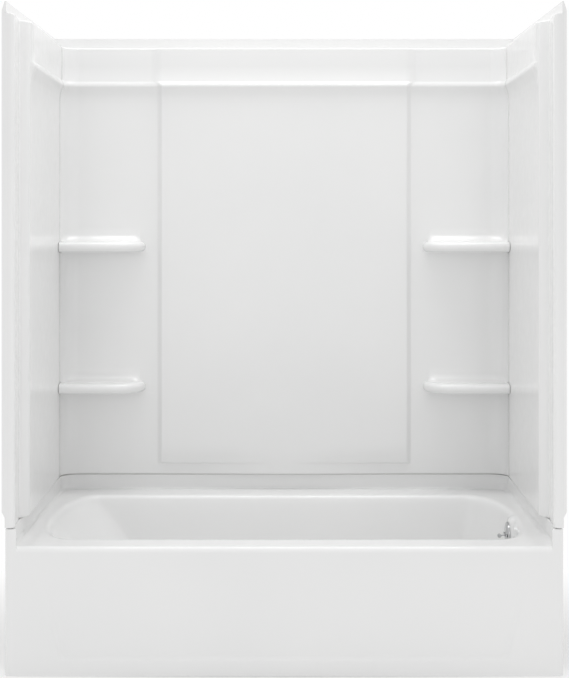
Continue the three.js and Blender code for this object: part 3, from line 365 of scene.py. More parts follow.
class WellCurve:
    """The well's outline by one running number: right end, back, left end, front."""

    def __init__(self):
        t = linspace(0, pi / 2, 4000)
        half = (DEPTH - BASIN.front - BASIN.back) / 2
        self.tables = []
        for reach, power in zip(END_REACH, END_POWER):
            run = run_along(np.stack([sum(reach) / 2 * (1 - np.cos(t) ** power), half * np.sin(t) ** power], axis=1))
            self.tables.append((run / run[-1], t, power))

    def quarter(self, share):
        """How far out and across a well end reaches at a share from -1, front, to 1, back."""
        run, t, power = self.tables[share >= 0]
        angle = float(np.interp(abs(share), run, t))
        return 1 - max(cos(angle), 0.0) ** power, copysign(sin(angle) ** power, share)

    def point(self, q, outset=0.0, backrest_in=0.0, drain_in=0.0, side_in=0.0):
        left = -BASIN.left - outset + backrest_in
        right = BASIN.right + outset - drain_in
        front = BASIN.front - outset + side_in
        back = DEPTH - BASIN.back + outset - side_in
        middle, half = (front + back) / 2, (back - front) / 2
        q = q % 4
        part, share = int(q), q - int(q)
        if part in (0, 2):
            sense = 1 - part
            along = (2 * share - 1) * sense
            out, across = self.quarter(along)
            reach = END_REACH[along >= 0][part // 2]
            return (right if sense > 0 else left) - sense * reach * out, middle + half * across
        near, far = END_REACH[part == 1]
        ends = right - near, left + far
        return (lerp(*ends, share), back) if part == 1 else (lerp(*ends[::-1], share), front)


WELL = WellCurve()


def band_lines():
    """Dense plan lines of the band: inner face, its foot on the deck, and outer face."""
    turn = smooth_table([0, 0.22, 0.5, 0.82, 1], [1, 0.62, 0.3, 0.08, 0])
    left = [(lerp(BAND.waist, BAND.front_width, turn(d / BAND.turn_depth)) - HALF, d)
            for d in linspace(0, BAND.turn_depth, 40)]
    rear_x, back_y = BAND.rear_width - HALF, DEPTH - BAND.back_width
    centre = (rear_x + BAND.corner, back_y - BAND.corner)
    left += [(BAND.waist - HALF, BAND.waist_depth), *arc(centre, BAND.corner, 180, 90, 60)]
    inner = np.array(resampled(left + mirrored_path(left), 1.0))
    tangent = np.gradient(inner, axis=0)
    tangent /= norm(tangent, axis=1)[:, None]
    inwards = np.stack([tangent[:, 1], -tangent[:, 0]], axis=1)
    near = inner[:, 1] < APRON_RETURN + 1
    inwards[near] = np.stack([-np.sign(inner[near, 0]), np.zeros(near.sum())], axis=1)
    outer = []
    for x, y in inner:
        if y <= centre[1]:
            depth = OUTER_CORNER - min(y, OUTER_CORNER)
            outer.append((copysign(HALF - OUTER_CORNER + sqrt(OUTER_CORNER ** 2 - depth ** 2), x), y))
        elif abs(x) <= abs(centre[0]):
            outer.append((x, DEPTH))
        else:
            cx = copysign(centre[0], x)
            dx, dy = abs(x - cx), y - centre[1]
            scale = min((HALF - abs(cx)) / max(dx, TINY), (DEPTH - centre[1]) / max(dy, TINY))
            outer.append((cx + copysign(dx * scale, x), centre[1] + dy * scale))
    return inner, inner + inwards * BAND.cove, np.array(outer)


BAND_INNER, BAND_FOOT, BAND_OUTER = band_lines()
LAST = len(BAND_INNER) - 1
FRONT_POINTS = 80


def deck_height(y):
    """Height of the deck's surface, which rounds down to the front plane."""
    return DECK if y >= NOSE else NOSE_FOOT + sqrt(NOSE ** 2 - (NOSE - y) ** 2)


def band_at(index):
    """Inner point, foot point and outer point of the band at a fractional index."""
    low = min(int(index), LAST - 1)
    return [lerp(path[low], path[low + 1], index - low) for path in (BAND_INNER, BAND_FOOT, BAND_OUTER)]


def band_index_at(depth):
    """Index of the band's left front part at a depth behind the front plane."""
    return float(np.interp(depth, BAND_INNER[:FRONT_POINTS, 1], np.arange(FRONT_POINTS)))


def band_column(index):
    """Section of the band from its outer foot to its inner foot on the deck."""
    inner, foot, outer = band_at(index)
    edge, cove = BAND.edge, BAND.cove
    y = inner[1]
    drop = 0.0 if y >= edge else edge - sqrt(edge ** 2 - (edge - y) ** 2)
    out = outer - inner
    out = out / norm(out)
    face = inner + out * drop
    shoulder, base = BAND_TOP - drop - edge, deck_height(y)
    points = [(*outer, NOSE_FOOT), (*outer, shoulder)]
    points += [(*(outer - out * edge * (1 - c)), shoulder + edge * s) for c, s in unit_arc(0, 90, 5)[1:]]
    points += [(*(face + out * edge * (1 - c)), shoulder + edge * s) for c, s in unit_arc(90, 0, 5)]
    points += [(*face, lerp(shoulder, base + cove, t)) for t in (0.33, 0.66)]
    return points + [(*lerp(face, foot, 1 - c), base + cove * (1 - s)) for c, s in unit_arc(0, 90, 6)]


def recess_field():
    """Depth of the apron's shallow recess, from the distance to its outline."""
    top, bottom, slope, depth = 302.0, 39.0, 17.0, 6.0
    reach, corner = (702.0, 618.0), 24.0
    side = smooth_table([0, 0.05, 0.28, 0.56, 0.8, 0.95], [0, 0.1, 0.45, 0.72, 0.9, 0.99])
    right = [(lerp(*reach, side(f)), lerp(top, bottom, f)) for f in linspace(0, 0.905, 60)]
    right += arc((reach[1] - corner + 2, bottom + corner), corner, 0, -90, 16)
    outline = np.array(resampled([(reach[0], top + 60), *right, (0, bottom)], 4.0))
    low, run = outline[:-1], np.diff(outline, axis=0)
    length = (run ** 2).sum(1)

    def value(x, z):
        if z >= top or abs(x) > reach[0]:
            return 0.0
        gap = np.array([abs(x), z]) - low
        gap = gap - run * np.clip((gap * run).sum(1) / length, 0, 1)[:, None]
        i = int(np.argmin((gap ** 2).sum(1)))
        if run[i][0] * gap[i][1] - run[i][1] * gap[i][0] > 0:
            return 0.0
        return depth * (top - z) / (top - bottom) * ease(hypot(*gap[i]) / slope)
    return value


def well_columns():
    """The columns that the deck and the well share: outer point, band index, place on the well."""
    centre = ((BASIN.right - BASIN.left) / 2, WELL_MIDDLE)
    inner_reach, outer_reach, apart, turn = (690.0, 279.0), (722.0, 360.0), 0.004, 2 * pi

    def angle_of(point, reach):
        angle = atan2((point[1] - centre[1]) / reach[1], (point[0] - centre[0]) / reach[0])
        return angle if angle > -pi / 2 else angle + turn
    dense = linspace(-0.5, 3.5, 8001)
    inner = np.unwrap([angle_of(WELL.point(q, BASIN.rim / 2), inner_reach) for q in dense])
    inner -= turn * round((inner[0] + pi / 2) / turn)

    corner, flank = band_index_at(NOSE), band_index_at(APRON_RETURN)
    keep = np.array([corner, *range(ceil(corner), LAST - ceil(corner) + 1), LAST - corner])
    outer = np.unwrap([angle_of(band_at(i)[1], outer_reach) for i in keep])[::-1]
    special = [flank, LAST - flank]
    special += [float(np.argmin(np.hypot(BAND_OUTER[:, 0] - s * HALF, BAND_OUTER[:, 1] - DEPTH))) for s in (-1, 1)]
    fixed = {float(np.interp(i, keep, outer[::-1])): i for i in special}
    even = [q for part in (0, 2) for q in linspace(part, part + 1, 2 * END_STEPS + 1)]
    chosen = dict(fixed)
    for q in even + list(linspace(1, 2, 45))[1:-1]:
        angle = float(np.interp(q, dense, inner))
        angle = angle if angle > outer[0] else angle + turn
        if outer[0] + apart < angle < outer[-1] - apart and min(abs(angle - a) for a in fixed) > apart:
            chosen[angle] = float(np.interp(angle, outer, keep[::-1]))
    columns = []
    right, left = band_at(LAST - corner)[1], band_at(corner)[1]
    for i in range(FRONT_STEPS + 1):
        point = lerp(left, right, i / FRONT_STEPS)
        columns.append((point, {0: corner, FRONT_STEPS: LAST - corner}.get(i), angle_of(point, outer_reach)))
    columns += [(band_at(chosen[angle])[1], chosen[angle], angle) for angle in sorted(chosen)]

    def well_place(angle):
        angle += turn * (max(0, ceil((inner[0] - angle) / turn)) - max(0, ceil((angle - inner[-1]) / turn)))
        return float(np.interp(angle, inner, dense))
    return [(point, index, well_place(angle)) for point, index, angle in columns]


def smoothed(points, spacing, spread):
    """A dense path at an even spacing, its creases rounded by a blur along its length."""
    run = run_along(points)
    even = linspace(0, run[-1], int(run[-1] / spacing) + 1)
    path = np.stack([np.interp(even, run, points[:, k]) for k in range(3)], axis=1)
    half = int(3 * spread / spacing)
    kernel = np.exp(-0.5 * (np.arange(-half, half + 1) * spacing / spread) ** 2)
    kernel /= kernel.sum()
    padded = np.concatenate([2 * path[0] - path[half:0:-1], path, 2 * path[-1] - path[-2:-half - 2:-1]])
    return even, np.stack([np.convolve(padded[:, k], kernel, "valid") for k in range(3)], axis=1)


# Radius and depth of the drain's recess, inwards from the well's floor
DRAIN_RECESS = [(36.6, 0.0), (35.9, 0.25), (35.4, 0.9), (35.3, 2.0), (30.0, 2.0), (24.4, 2.0), (24.0, 2.4),
                (24.0, 8.0)]
DRAIN_CENTRE = np.array([DRAIN_X, WELL_MIDDLE])


def well_profile(outer, q, shares):
    """Rows of one column, from the deck over the rim and down the well to the drain's edge.
    They lie denser over the rim and where the wall turns into the floor."""
    rim, lip = BASIN.rim, BASIN.rim / 2
    foot = DECK - rim
    edge = np.array(WELL.point(q, lip))
    out = np.array(outer) - edge
    reach = norm(out)
    start = min(30.0, 0.9 * reach)
    points = [(*(edge + out * start / reach), DECK)]
    points += [(*WELL.point(q, lip - rim * s), foot + rim * c) for c, s in unit_arc(0, 90, 12)]
    for down, rest, drain, side in shares:
        x, y = WELL.point(q, -lip, BASIN.backrest_run * rest, BASIN.drain_run * drain, BASIN.side_run * side)
        points.append((x, y, lerp(foot, floor_at(x), down)))
    wall = len(points) - 1
    points += [(x, y, floor_at(x)) for x, y in line(points[wall][:2], DRAIN_CENTRE, linspace(0, 1, 60)[1:])]
    points = np.array(points)
    even, path = smoothed(points, 1.0, 6.0)
    near = norm(path[:, :2] - DRAIN_CENTRE, axis=1) < DRAIN_RECESS[0][0]
    end = even[int(np.argmax(near))]
    rim_end, turn, beyond = 70.0, 100.0, 60.0
    low = min(run_along(points)[wall] + beyond, lerp(rim_end, end, 0.9))
    marks = (0, rim_end, low - turn, low)
    stops = [0, *[stop for span in zip(marks, marks[1:]) for stop in linspace(*span, 19)[1:]],
             *lerp(low, end, np.array([0.12, 0.3, 0.5, 0.7, 0.86, 0.96, 1.0]))]
    return np.stack([np.interp(stops, even, path[:, k]) for k in range(3)], axis=1)


def well_rows(columns):
    """Rings from the deck's edge over the rim and down the well to the drain."""
    steps, levels = np.arange(7), linspace(0, 6, 121)[1:]
    tables = [smooth_table(steps, DOWN, flat_end=True)]
    tables += [smooth_table(steps, inset) for inset in (BACKREST_IN, DRAIN_IN, SIDE_IN)]
    shares = np.stack([table(levels) for table in tables], axis=1)
    table = np.stack([well_profile(outer, q, shares) for outer, _, q in columns], axis=1)
    starts = np.array([p for p, _, _ in columns])
    ways = table[0, :, :2] - starts
    near = np.minimum(2.5 / norm(ways, axis=1), 0.15)[:, None]
    rows = [[(x, y, DECK) for x, y in starts + ways * share] for share in (0 * near, near, 0.3, 0.65)]
    # The wall is drawn level with the overflow's seat around the overflow
    flat, fade = 37.0, 23.0
    pad = np.hypot(table[..., 1] - WELL_MIDDLE, table[..., 2] - OVERFLOW_Z)
    weight = np.where(table[..., 0] > NEAR_OVERFLOW, 1 - ease((pad - flat) / fade), 0)
    table[..., 0] = lerp(table[..., 0], OVERFLOW_SEAT, weight)
    rows += list(table)
    out = table[-1][:, :2] - DRAIN_CENTRE
    out /= norm(out, axis=1)[:, None]
    for radius, fall in DRAIN_RECESS[1:]:
        rows.append([(x, y, floor_at(DRAIN_X) - fall) for x, y in DRAIN_CENTRE + out * radius])
    return rows


def bath_skin():
    """The bath as one moulded skin: apron, rounded front edge, band, deck and well."""
    shell = Shell()
    columns = well_columns()
    shell.grid(well_rows(columns), closed=True)

    front = columns[:FRONT_STEPS + 1]
    corner_x = band_at(band_index_at(NOSE))[1][0]
    nose_depths = [NOSE * (1 - c) for c, _ in unit_arc(0, 90, NOSE_STEPS)]
    nose_rows = []
    for depth in nose_depths:
        scale = band_at(band_index_at(depth))[1][0] / corner_x
        nose_rows.append([(p[0] * scale, depth, deck_height(depth)) for p, _, _ in front])
    shell.grid(nose_rows)

    near = [band_index_at(d) for d in nose_depths[:-1]]
    ring = [index for _, index, _ in columns if index is not None]
    indices = sorted([*near, *ring, *[LAST - i for i in near]])
    sections = [band_column(i) for i in indices]
    shell.grid(list(zip(*sections)), flip=True)

    ends = [-HALF + OUTER_CORNER + t for t in (7, 14, 21)]
    side = [tuple(band_at(i)[2]) for i in indices if band_at(i)[0][1] <= APRON_RETURN + TINY]
    across = [*ends, *[p[0] for p in nose_rows[0]], *[-x for x in ends[::-1]]]
    plan = [*[p for p in side if p[0] < 0][::-1], *[(x, 0.0) for x in across], *[p for p in side if p[0] > 0][::-1]]
    depth_at = recess_field()
    heights = [0, 3, 8, 16, 24, 31, *range(36, 78, 3), *range(80, 304, 7), 312, 324, NOSE_FOOT]
    shell.grid([[(x, y + (depth_at(x, z) if y == 0 else 0), z) for x, y in plan] for z in heights])
    for section, sign in ((sections[0], -1), (sections[-1], 1)):
        shell.fan([*section, *[(-sign * x, 0.0, NOSE_FOOT) for x in ends[::-1]]], flip=sign < 0)
    points = np.array(shell.points)

    def in_hole(face):
        x, y, z = points[face].mean(axis=0)
        return x > NEAR_OVERFLOW and hypot(y - WELL_MIDDLE, z - OVERFLOW_Z) < OVERFLOW_HOLE
    shell.faces = [face for face in shell.faces if not in_hole(face)]
    return shade(thickened(make_object("bath_skin", shell), SKIN), 50)


# Wall panels

FRIEZE = Sizes(cove=183.0, crest=126.0, shoulder=110.0, proud=7.0, crest_proud=12.5)
END = Sizes(outset=2.0, slope=4.0, nose_inset=27.0, nose_radius=10.0, throat_inset=17.5, throat=112.0, step=36.0,
            front_inset=40.0, rear_inset=31.0, start=12.8, seam=690.0, fold=22.0, plane=2.0, chamfer=8.0)
BACK = Sizes(inset=24.0, corner=(58.0, 45.0), half=400.0, proud=10.0, step=20.0, frieze_step=40.0,
             frieze_proud=5.0, foot=41.0, foot_slope=9.0)
SHELF = Sizes(depth=90.0, start=1.8, length=272.2, tip=105.0, thickness=32.0, nose=14.0, corner=2.0, fillet=24.0,
              tops=(708.0, 1168.0), under=7.0)
BACK_FACE = DEPTH - BACK.inset
FLANGE_X = HALF - SHEET
FLANGE_Y = DEPTH - SHEET
SEAM = END.seam + 0.3
SEAM_EDGE = 0.7
SEAM_COLUMNS = 7
REAR_X = END.rear_inset - HALF


def frieze_rows():
    """Height, how far proud, and share of the frieze, from below the cove to below the ledge."""
    cove = smooth_table([0, 0.36, 0.66, 0.88, 1], [0, 0.14, 0.45, 0.82, 1])
    shoulder = smooth_table([0, 0.33, 0.67, 0.88, 1], [0, 0.12, 0.5, 0.85, 1])
    rows = [(LEDGE - lerp(FRIEZE.cove, FRIEZE.crest, t), FRIEZE.crest_proud * cove(t), 0.0)
            for t in linspace(0, 1, 15)]
    rows += [(LEDGE - lerp(FRIEZE.crest, FRIEZE.shoulder, t), lerp(FRIEZE.crest_proud, FRIEZE.proud, shoulder(t)),
              shoulder(t)) for t in linspace(0, 1, 9)[1:]]
    return [*rows, (LEDGE - 60, FRIEZE.proud, 1.0)]


def panel_rows(face_rows, face_at, flange_at):
    """Rows of a panel: foot return, face, rounded ledge, and flange. Each column runs from a face
    point to a flange point. A face row that is a list of points is taken as it is."""
    edge, root, foot = 6.0, 3.5, 4.5
    low, high = face_rows[0], face_rows[-1]

    def between(row, z, moves):
        points = []
        for face, flange in zip(face_at(row), flange_at(row)):
            gap = np.array(flange) - np.array(face)
            reach = norm(gap)
            share = min(moves(reach), reach) / reach if reach > TINY else 0
            points.append((*(np.array(face) + gap * share), z))
        return points

    def to_root(reach):
        return max(reach - root, reach / 2)
    rows = [between(low, low[0], lambda r: r),
            between(low, low[0], lambda r: min(r, foot + 0.6 * (r - foot)))]
    rows += [between(low, low[0] + foot * (1 + s), lambda r: foot * (1 + c) * min(1, r / 9))
             for c, s in unit_arc(270, 180, 4)]
    rows += [row if isinstance(row, list) else [(x, y, row[0]) for x, y in face_at(row)] for row in face_rows[1:]]
    rows += [between(high, LEDGE - edge + edge * s, lambda r: edge * (1 - c) * min(1, r / 12))
             for c, s in unit_arc(0, 90, 7)]
    rows.append(between(high, LEDGE, lambda r: lerp(min(edge, r / 2), to_root(r), 0.5)))
    rows += [between(high, LEDGE + root * (1 - s), lambda r: to_root(r) + root * c * min(1, r / 8))
             for c, s in unit_arc(90, 0, 4)]
    return rows + [between(high, z, lambda r: r) for z in (HEIGHT - 25, HEIGHT)]


def end_wall_face(row):
    """Plan of the left end wall's face at a row, from its front flange to its rear return."""
    z, proud = row[0], row[1]
    reach = END.chamfer * float(np.clip((z - WALL_BOTTOM - 28) / 15, 0, 1))
    points = [(inset - HALF, END.plane) for inset in (-reach, -reach / 2, 0, END.outset)]
    points.append((END.outset + END.slope - HALF, 0.0))
    radius = END.nose_radius
    points += arc((END.nose_inset - HALF - radius, radius), radius, -90, -4, 10)
    nose, throat = points[-1], (END.throat_inset - HALF, END.throat)
    points += line(nose, throat, linspace(0, 1, 13)[1:])
    face_x, start = END.front_inset - HALF, END.throat + END.step
    points += [(lerp(throat[0], face_x, ease(t)), END.throat + END.step * t) for t in linspace(0, 1, 15)[1:]]
    points += [(face_x + proud * ease(t), start + END.start * t) for t in linspace(0, 1, 6)[1:]]
    first, last = points[-1], (REAR_X + proud, END.seam)
    points += line(first, last, linspace(0, 1, 16)[1:-1])
    points += arc((last[0] - SEAM_EDGE, last[1] - SEAM_EDGE), SEAM_EDGE, 0, 90, 4)
    return points + [(REAR_X - END.fold, END.seam)]


def end_wall_flange(row):
    """Where each of the end wall's columns meets its flange."""
    face = end_wall_face(row)
    return face[:3] + [(-FLANGE_X, min(max(y, END.plane), END.seam - 1)) for _, y in face[3:]]


def end_wall_skin(name, side):
    """An end wall as one moulded sheet, on the left for -1 and on the right for 1."""
    face_rows = [(WALL_BOTTOM + d, 0.0) for d in (0, 12, 28, 43)]
    face_rows += [(z, 0.0) for z in linspace(500, 1590, 9)] + frieze_rows()
    points = np.array(panel_rows(face_rows, end_wall_face, end_wall_flange))
    points[-1, :3, 0] = -HALF
    points[..., 0] *= -side
    return shade(thickened(make_object(name, Shell().grid(points, flip=side > 0)), SHEET), 40)


TIP_START = REAR_X + SHELF.start + SHELF.length - SHELF.tip
CORNER = (REAR_X + BACK.corner[0], BACK_FACE - BACK.corner[1])
FLANGE_TURN = degrees(atan2(FLANGE_Y - CORNER[1], -FLANGE_X - CORNER[0]))
TURNS = np.radians(sorted([*linspace(180, 90, 25), FLANGE_TURN], reverse=True))
RUN = list(linspace(CORNER[0], TIP_START, 9))[1:]
TIP_ANGLES = np.radians(linspace(0, 90, 17))[1:]
TURNS_END = SEAM_COLUMNS + len(TURNS)
RUN_END = TURNS_END + len(RUN)
TIP_END = RUN_END + len(TIP_ANGLES)


def back_wall_face(row):
    """Plan of the left half of the back wall's face at a row, and its mirror image."""
    _, proud, share, panel, foot = row
    left, y = REAR_X + proud, BACK_FACE - proud
    points = [(REAR_X - END.fold, SEAM), (left - 11, SEAM)]
    points += arc((left - SEAM_EDGE, SEAM + SEAM_EDGE), SEAM_EDGE, -90, 0, 4)
    across, deep = (size - proud for size in BACK.corner)
    points += [(CORNER[0] + across * cos(a), CORNER[1] + deep * sin(a)) for a in TURNS]
    points += [(x, y) for x in RUN]
    points += [(TIP_START + (SHELF.tip - SHELF.nose) * sin(a), y) for a in TIP_ANGLES]
    rise = lerp(BACK.proud, BACK.frieze_proud, share) * panel
    width = lerp(BACK.step, BACK.frieze_step, share)
    points += [((t - 1) * width - BACK.half, y - rise * ease(t)) for t in linspace(0, 1, 13)]
    points += [(-BACK.half * t, y - rise - BACK.proud * foot * ease(1 - t)) for t in linspace(1, 0, 17)[1:]]
    return points + mirrored_path(points[:-1])


def back_wall_flange(row):
    """Where each of the back wall's columns meets its flange."""
    face = back_wall_face(row)
    half = [(-FLANGE_X, max(y, SEAM)) for _, y in face[:SEAM_COLUMNS]]
    for turn in TURNS:
        reach = min((CORNER[0] + FLANGE_X) / max(-cos(turn), 1e-9), (FLANGE_Y - CORNER[1]) / max(sin(turn), 1e-9))
        half.append((CORNER[0] + reach * cos(turn), CORNER[1] + reach * sin(turn)))
    half += [(x, FLANGE_Y) for x, _ in face[TURNS_END:len(face) // 2 + 1]]
    return half + mirrored_path(half[:-1])


def shelf_edge(column, inset, base):
    """Where the shelf's outline, drawn in by an inset, passes a column of the left half."""
    corner, end, front = SHELF.corner, REAR_X + SHELF.start, BACK_FACE - SHELF.depth + inset
    if column < SEAM_COLUMNS or column >= TIP_END:
        return base
    if column < TURNS_END:
        share = (column - SEAM_COLUMNS) / (len(TURNS) - 1)
        if share < 0.4:
            return end, lerp(SEAM, front + corner, share / 0.4)
        if share < 0.6:
            return arc((end + corner, front + corner), corner, 180 + 90 * (share - 0.4) / 0.2, 0, 0)[0]
        return lerp(end + corner, CORNER[0], (share - 0.6) / 0.4), front
    if column < RUN_END:
        return base[0], front
    angle = TIP_ANGLES[column - RUN_END]
    return TIP_START + (SHELF.tip - inset) * sin(angle), BACK_FACE - (SHELF.depth - inset) * cos(angle)


def shelf_rows(top):
    """Rows that carry the wall's face out round the shelves whose tops are at a height."""
    low = top - SHELF.thickness
    nose, under, fillet = SHELF.nose, SHELF.under, SHELF.fillet
    face = back_wall_face((top, 0.0, 0.0, 1.0, 0.0))
    half = face[:len(face) // 2 + 1]
    tall = [1.0] * RUN_END + [ease(1.6 * cos(a)) for a in TIP_ANGLES] + [0.0] * (len(half) - TIP_END)

    def row(z, place, rise=0.0):
        points = [(*place(i, np.array(base)), z + rise * share) for i, (base, share) in enumerate(zip(half, tall))]
        return points + [(-x, y, high) for x, y, high in reversed(points[:-1])]

    def root(i, base, size, out):
        way = np.array(shelf_edge(i, nose, base)) - base
        reach = norm(way)
        return base + way * (min(size, 0.45 * reach) * out / reach if reach > TINY else 0)

    def flat(i, base, size, share):
        return lerp(root(i, base, size, 1), np.array(shelf_edge(i, nose, base)), share)
    quarter = unit_arc(0, 90, 8)
    rows = [row(low - under * (1 - s), lambda i, b: root(i, b, under, 1 - c)) for c, s in quarter[::2]]
    rows += [row(low, lambda i, b: flat(i, b, under, t)) for t in (0.33, 0.66)]
    rows += [row(low + nose * (1 - c), lambda i, b: shelf_edge(i, nose * (1 - s), b)) for c, s in quarter]
    rows += [row(top - nose * (1 - s), lambda i, b: shelf_edge(i, nose * (1 - c), b)) for c, s in quarter]
    rows += [row(top, lambda i, b: flat(i, b, fillet, t)) for t in (0.66, 0.33)]
    for step, (c, s) in enumerate(quarter):
        share = step / (len(quarter) - 1)
        rise, out = lerp(1 - c, share, 0.65), lerp(1 - s, 1 - share, 0.65)
        rows.append(row(top, lambda i, b: root(i, b, fillet, out), fillet * rise))
    return rows


def back_wall_skin():
    """The back wall, its two rear corners and its four shelves as one moulded sheet."""
    start = WALL_BOTTOM + BACK.foot - BACK.foot_slope
    face_rows = [(WALL_BOTTOM + d, 0.0, 0.0, 0.0, 1.0) for d in (0, 14)]
    face_rows += [(start + BACK.foot_slope * t, 0.0, 0.0, ease(t), 1 - ease(t)) for t in linspace(0, 1, 8)]
    below, above = [top - 60 for top in SHELF.tops], [top + 45 for top in SHELF.tops]
    for i, span in enumerate(zip([start + 60, *above], [*below, LEDGE - FRIEZE.cove - 20])):
        face_rows += [(z, 0.0, 0.0, 1.0, 0.0) for z in linspace(*span, 5)]
        if i < len(SHELF.tops):
            face_rows += shelf_rows(SHELF.tops[i])
    face_rows += [(*row, 1.0, 0.0) for row in frieze_rows()]
    shell = Shell().grid(panel_rows(face_rows, back_wall_face, back_wall_flange))
    return shade(thickened(make_object("back_wall_skin", shell), SHEET), 40)


for thing, node in ((bath_skin(), "bath_shell"), (end_wall_skin("left_end_wall_skin", -1), "left_end_wall"),
                    (end_wall_skin("right_end_wall_skin", 1), "right_end_wall"), (back_wall_skin(), "back_wall")):
    finish_piece(thing, "acrylic", "unit", node)


# Fittings

WASTE = Sizes(tube=19.0, bore=16.5, body=22.0, flats=52.0, nut=18.0, lip=4.0, washer=3.0, socket=24.0, gap=0.3)
SOCKET = WASTE.tube + WASTE.gap
TUBE_X = HALF - 47.0
DRAIN_SEAT = floor_at(DRAIN_X) - 2.0
SHOE_TOP = floor_at(DRAIN_X) - SKIN - 6.6
BRANCH_Z = SHOE_TOP - 26.3
TEE_TOP, TEE_FOOT = BRANCH_Z + 43.0, 18.5
BRANCH_X = TUBE_X - 36.0
ELBOW_FOOT = OVERFLOW_Z - 47.0
FLANGE_FACE = OVERFLOW_SEAT + SKIN + 4.6
PLATE_FACE = OVERFLOW_SEAT - 0.3
PIVOT_X = PLATE_FACE - 3.0
ARM = TUBE_X - PIVOT_X
RISE, FALL = radians(10), radians(24)
TRAVEL = ARM * (sin(RISE) + sin(FALL))
PLUNGER_FOOT = TEE_FOOT + 5.3 + TRAVEL
STUD_Z = OVERFLOW_Z + ARM * sin(RISE)
SCREW_BORE, SCREW_OUT, PIN_BORE = 2.3, 22.0, 1.8


def at(x, z=0.0, side=0.0):
    """A place beside the well's middle line."""
    return x, WELL_MIDDLE + side, z


def rounded(corners, closed=False, steps=4):
    """A profile through corners of (a, b), or of (a, b, radius) where they are rounded."""
    out = []
    for i, (a, b, *radius) in enumerate(corners):
        if not any(radius) or (not closed and i in (0, len(corners) - 1)):
            out.append((a, b))
            continue
        corner = np.array([a, b])
        before = np.array(corners[i - 1][:2]) - corner
        after = np.array(corners[(i + 1) % len(corners)][:2]) - corner
        before, after = before / norm(before), after / norm(after)
        cut = radius[0] / tan(acos(float(np.clip(before @ after, -0.999, 0.999))) / 2)
        first, last = corner + before * cut, corner + after * cut
        out += [tuple((1 - t) ** 2 * first + 2 * t * (1 - t) * corner + t * t * last)
                for t in linspace(0, 1, steps + 1)]
    return out


def rectangle(u, v, radius=0, shift=0.0, rise=0.0):
    """A rectangle's outline of half sizes u and v, its corners rounded by a radius."""
    corners = [(shift - u, rise - v), (shift + u, rise - v), (shift + u, rise + v), (shift - u, rise + v)]
    return rounded([(a, b, radius) for a, b in corners], closed=True, steps=6)


def placer(axis, centre, sense=1):
    """Turns two cross places and one along an axis into a point."""
    cx, cy, cz = centre
    return {"x": lambda u, v, along: (cx + sense * along, cy + u, cz + v),
            "y": lambda u, v, along: (cx + u, cy + sense * along, cz + v),
            "z": lambda u, v, along: (cx + u, cy + v, cz + sense * along)}[axis]


def turned(profile, axis, centre, sense=1, sides=72, ring=False):
    """A turned solid from corners of (radius, along). A ring's profile closes on itself."""
    put = placer(axis, centre, sense)
    profile = rounded(profile, ring)
    if ring:
        profile += profile[:1]
    rows = [[put(r * cos(a), r * sin(a), along) for r, along in profile]
            for a in linspace(0, 2 * pi, sides + 1)]
    return make_object("solid", Shell().grid(rows), 0.005, True)


def prism(outline, low, high, axis, centre, sense=1):
    """An outline drawn out along an axis."""
    put = placer(axis, centre, sense)
    count, shell = len(outline), Shell()
    shell.fan([put(u, v, low) for u, v in outline], flip=True)
    shell.fan([put(u, v, high) for u, v in outline])
    shell.faces += [[i, (i + 1) % count, count + (i + 1) % count, count + i] for i in range(count)]
    return make_object("solid", shell, 0.005, True)


def combined(thing, operation, *tools):
    """Adds, cuts or intersects solids, and removes the tools."""
    for tool in tools:
        changed(thing, "BOOLEAN", operation=operation, solver="MANIFOLD", object=tool)
        bpy.data.objects.remove(tool)
    return thing


def joined(thing, *tools):
    return combined(thing, "UNION", *tools)


def cut(thing, *tools):
    return combined(thing, "DIFFERENCE", *tools)


def bevel(width, segments, angle):
    """Settings that round sharp edges by a width in millimetres."""
    return dict(width=width / 1000, segments=segments, limit_method="ANGLE", angle_limit=radians(angle),
                harden_normals=True)


def bar(radius, low, high, axis, centre, sides=64, edges=(0, 0)):
    """A round bar, its low and high edges rounded."""
    corners = [(0, low), (radius, low, edges[0]), (radius, high, edges[1]), (0, high)]
    return turned(corners, axis, centre, sides=sides)


def pipe(radius, bore, low, high, axis, centre, edge=0.6):
    """A tube with softened ends."""
    corners = [(bore, low, edge), (radius, low, edge), (radius, high, edge), (bore, high, edge)]
    return turned(corners, axis, centre, ring=True)


def slip_nut(axis, centre, sense=1, turn=0.0):
    """Hexagon nut with chamfered corners, a lip and a round collar."""
    body, tube, across = WASTE.body + 0.4, WASTE.tube + 0.4, WASTE.flats / sqrt(3)
    top = WASTE.nut - WASTE.lip - WASTE.washer - 2 * WASTE.gap
    low = top - WASTE.nut
    corners = [(across * cos(a), across * sin(a)) for a in np.radians(turn + 60 * np.arange(6))]
    cone = [(0, low), (25.2, low, 1.0), (30.4, low + 2.6, 1.5), (30.4, top - 2.6, 1.5), (25.2, top, 1.0), (0, top)]
    lip = low + WASTE.lip
    wide = [(0, lip), (body, lip), (body, top - 0.8), (body + 1.2, top + 0.4), (0, top + 0.4)]
    narrow = [(0, low - 1), (tube + 1, low - 1), (tube, low + 0.8), (tube, top), (0, top)]
    nut = combined(prism(corners, low, top, axis, centre, sense), "INTERSECT", turned(cone, axis, centre, sense, 96))
    return cut(nut, turned(wide, axis, centre, sense), turned(narrow, axis, centre, sense))


def slip_washer(axis, centre, sense=1):
    low, high = -WASTE.gap - WASTE.washer, -WASTE.gap
    corners = [(SOCKET, high, 0.7), (WASTE.body, high, 0.5), (WASTE.body, low, 0.5), (SOCKET, low, 0.7)]
    return turned(corners, axis, centre, sense, ring=True)


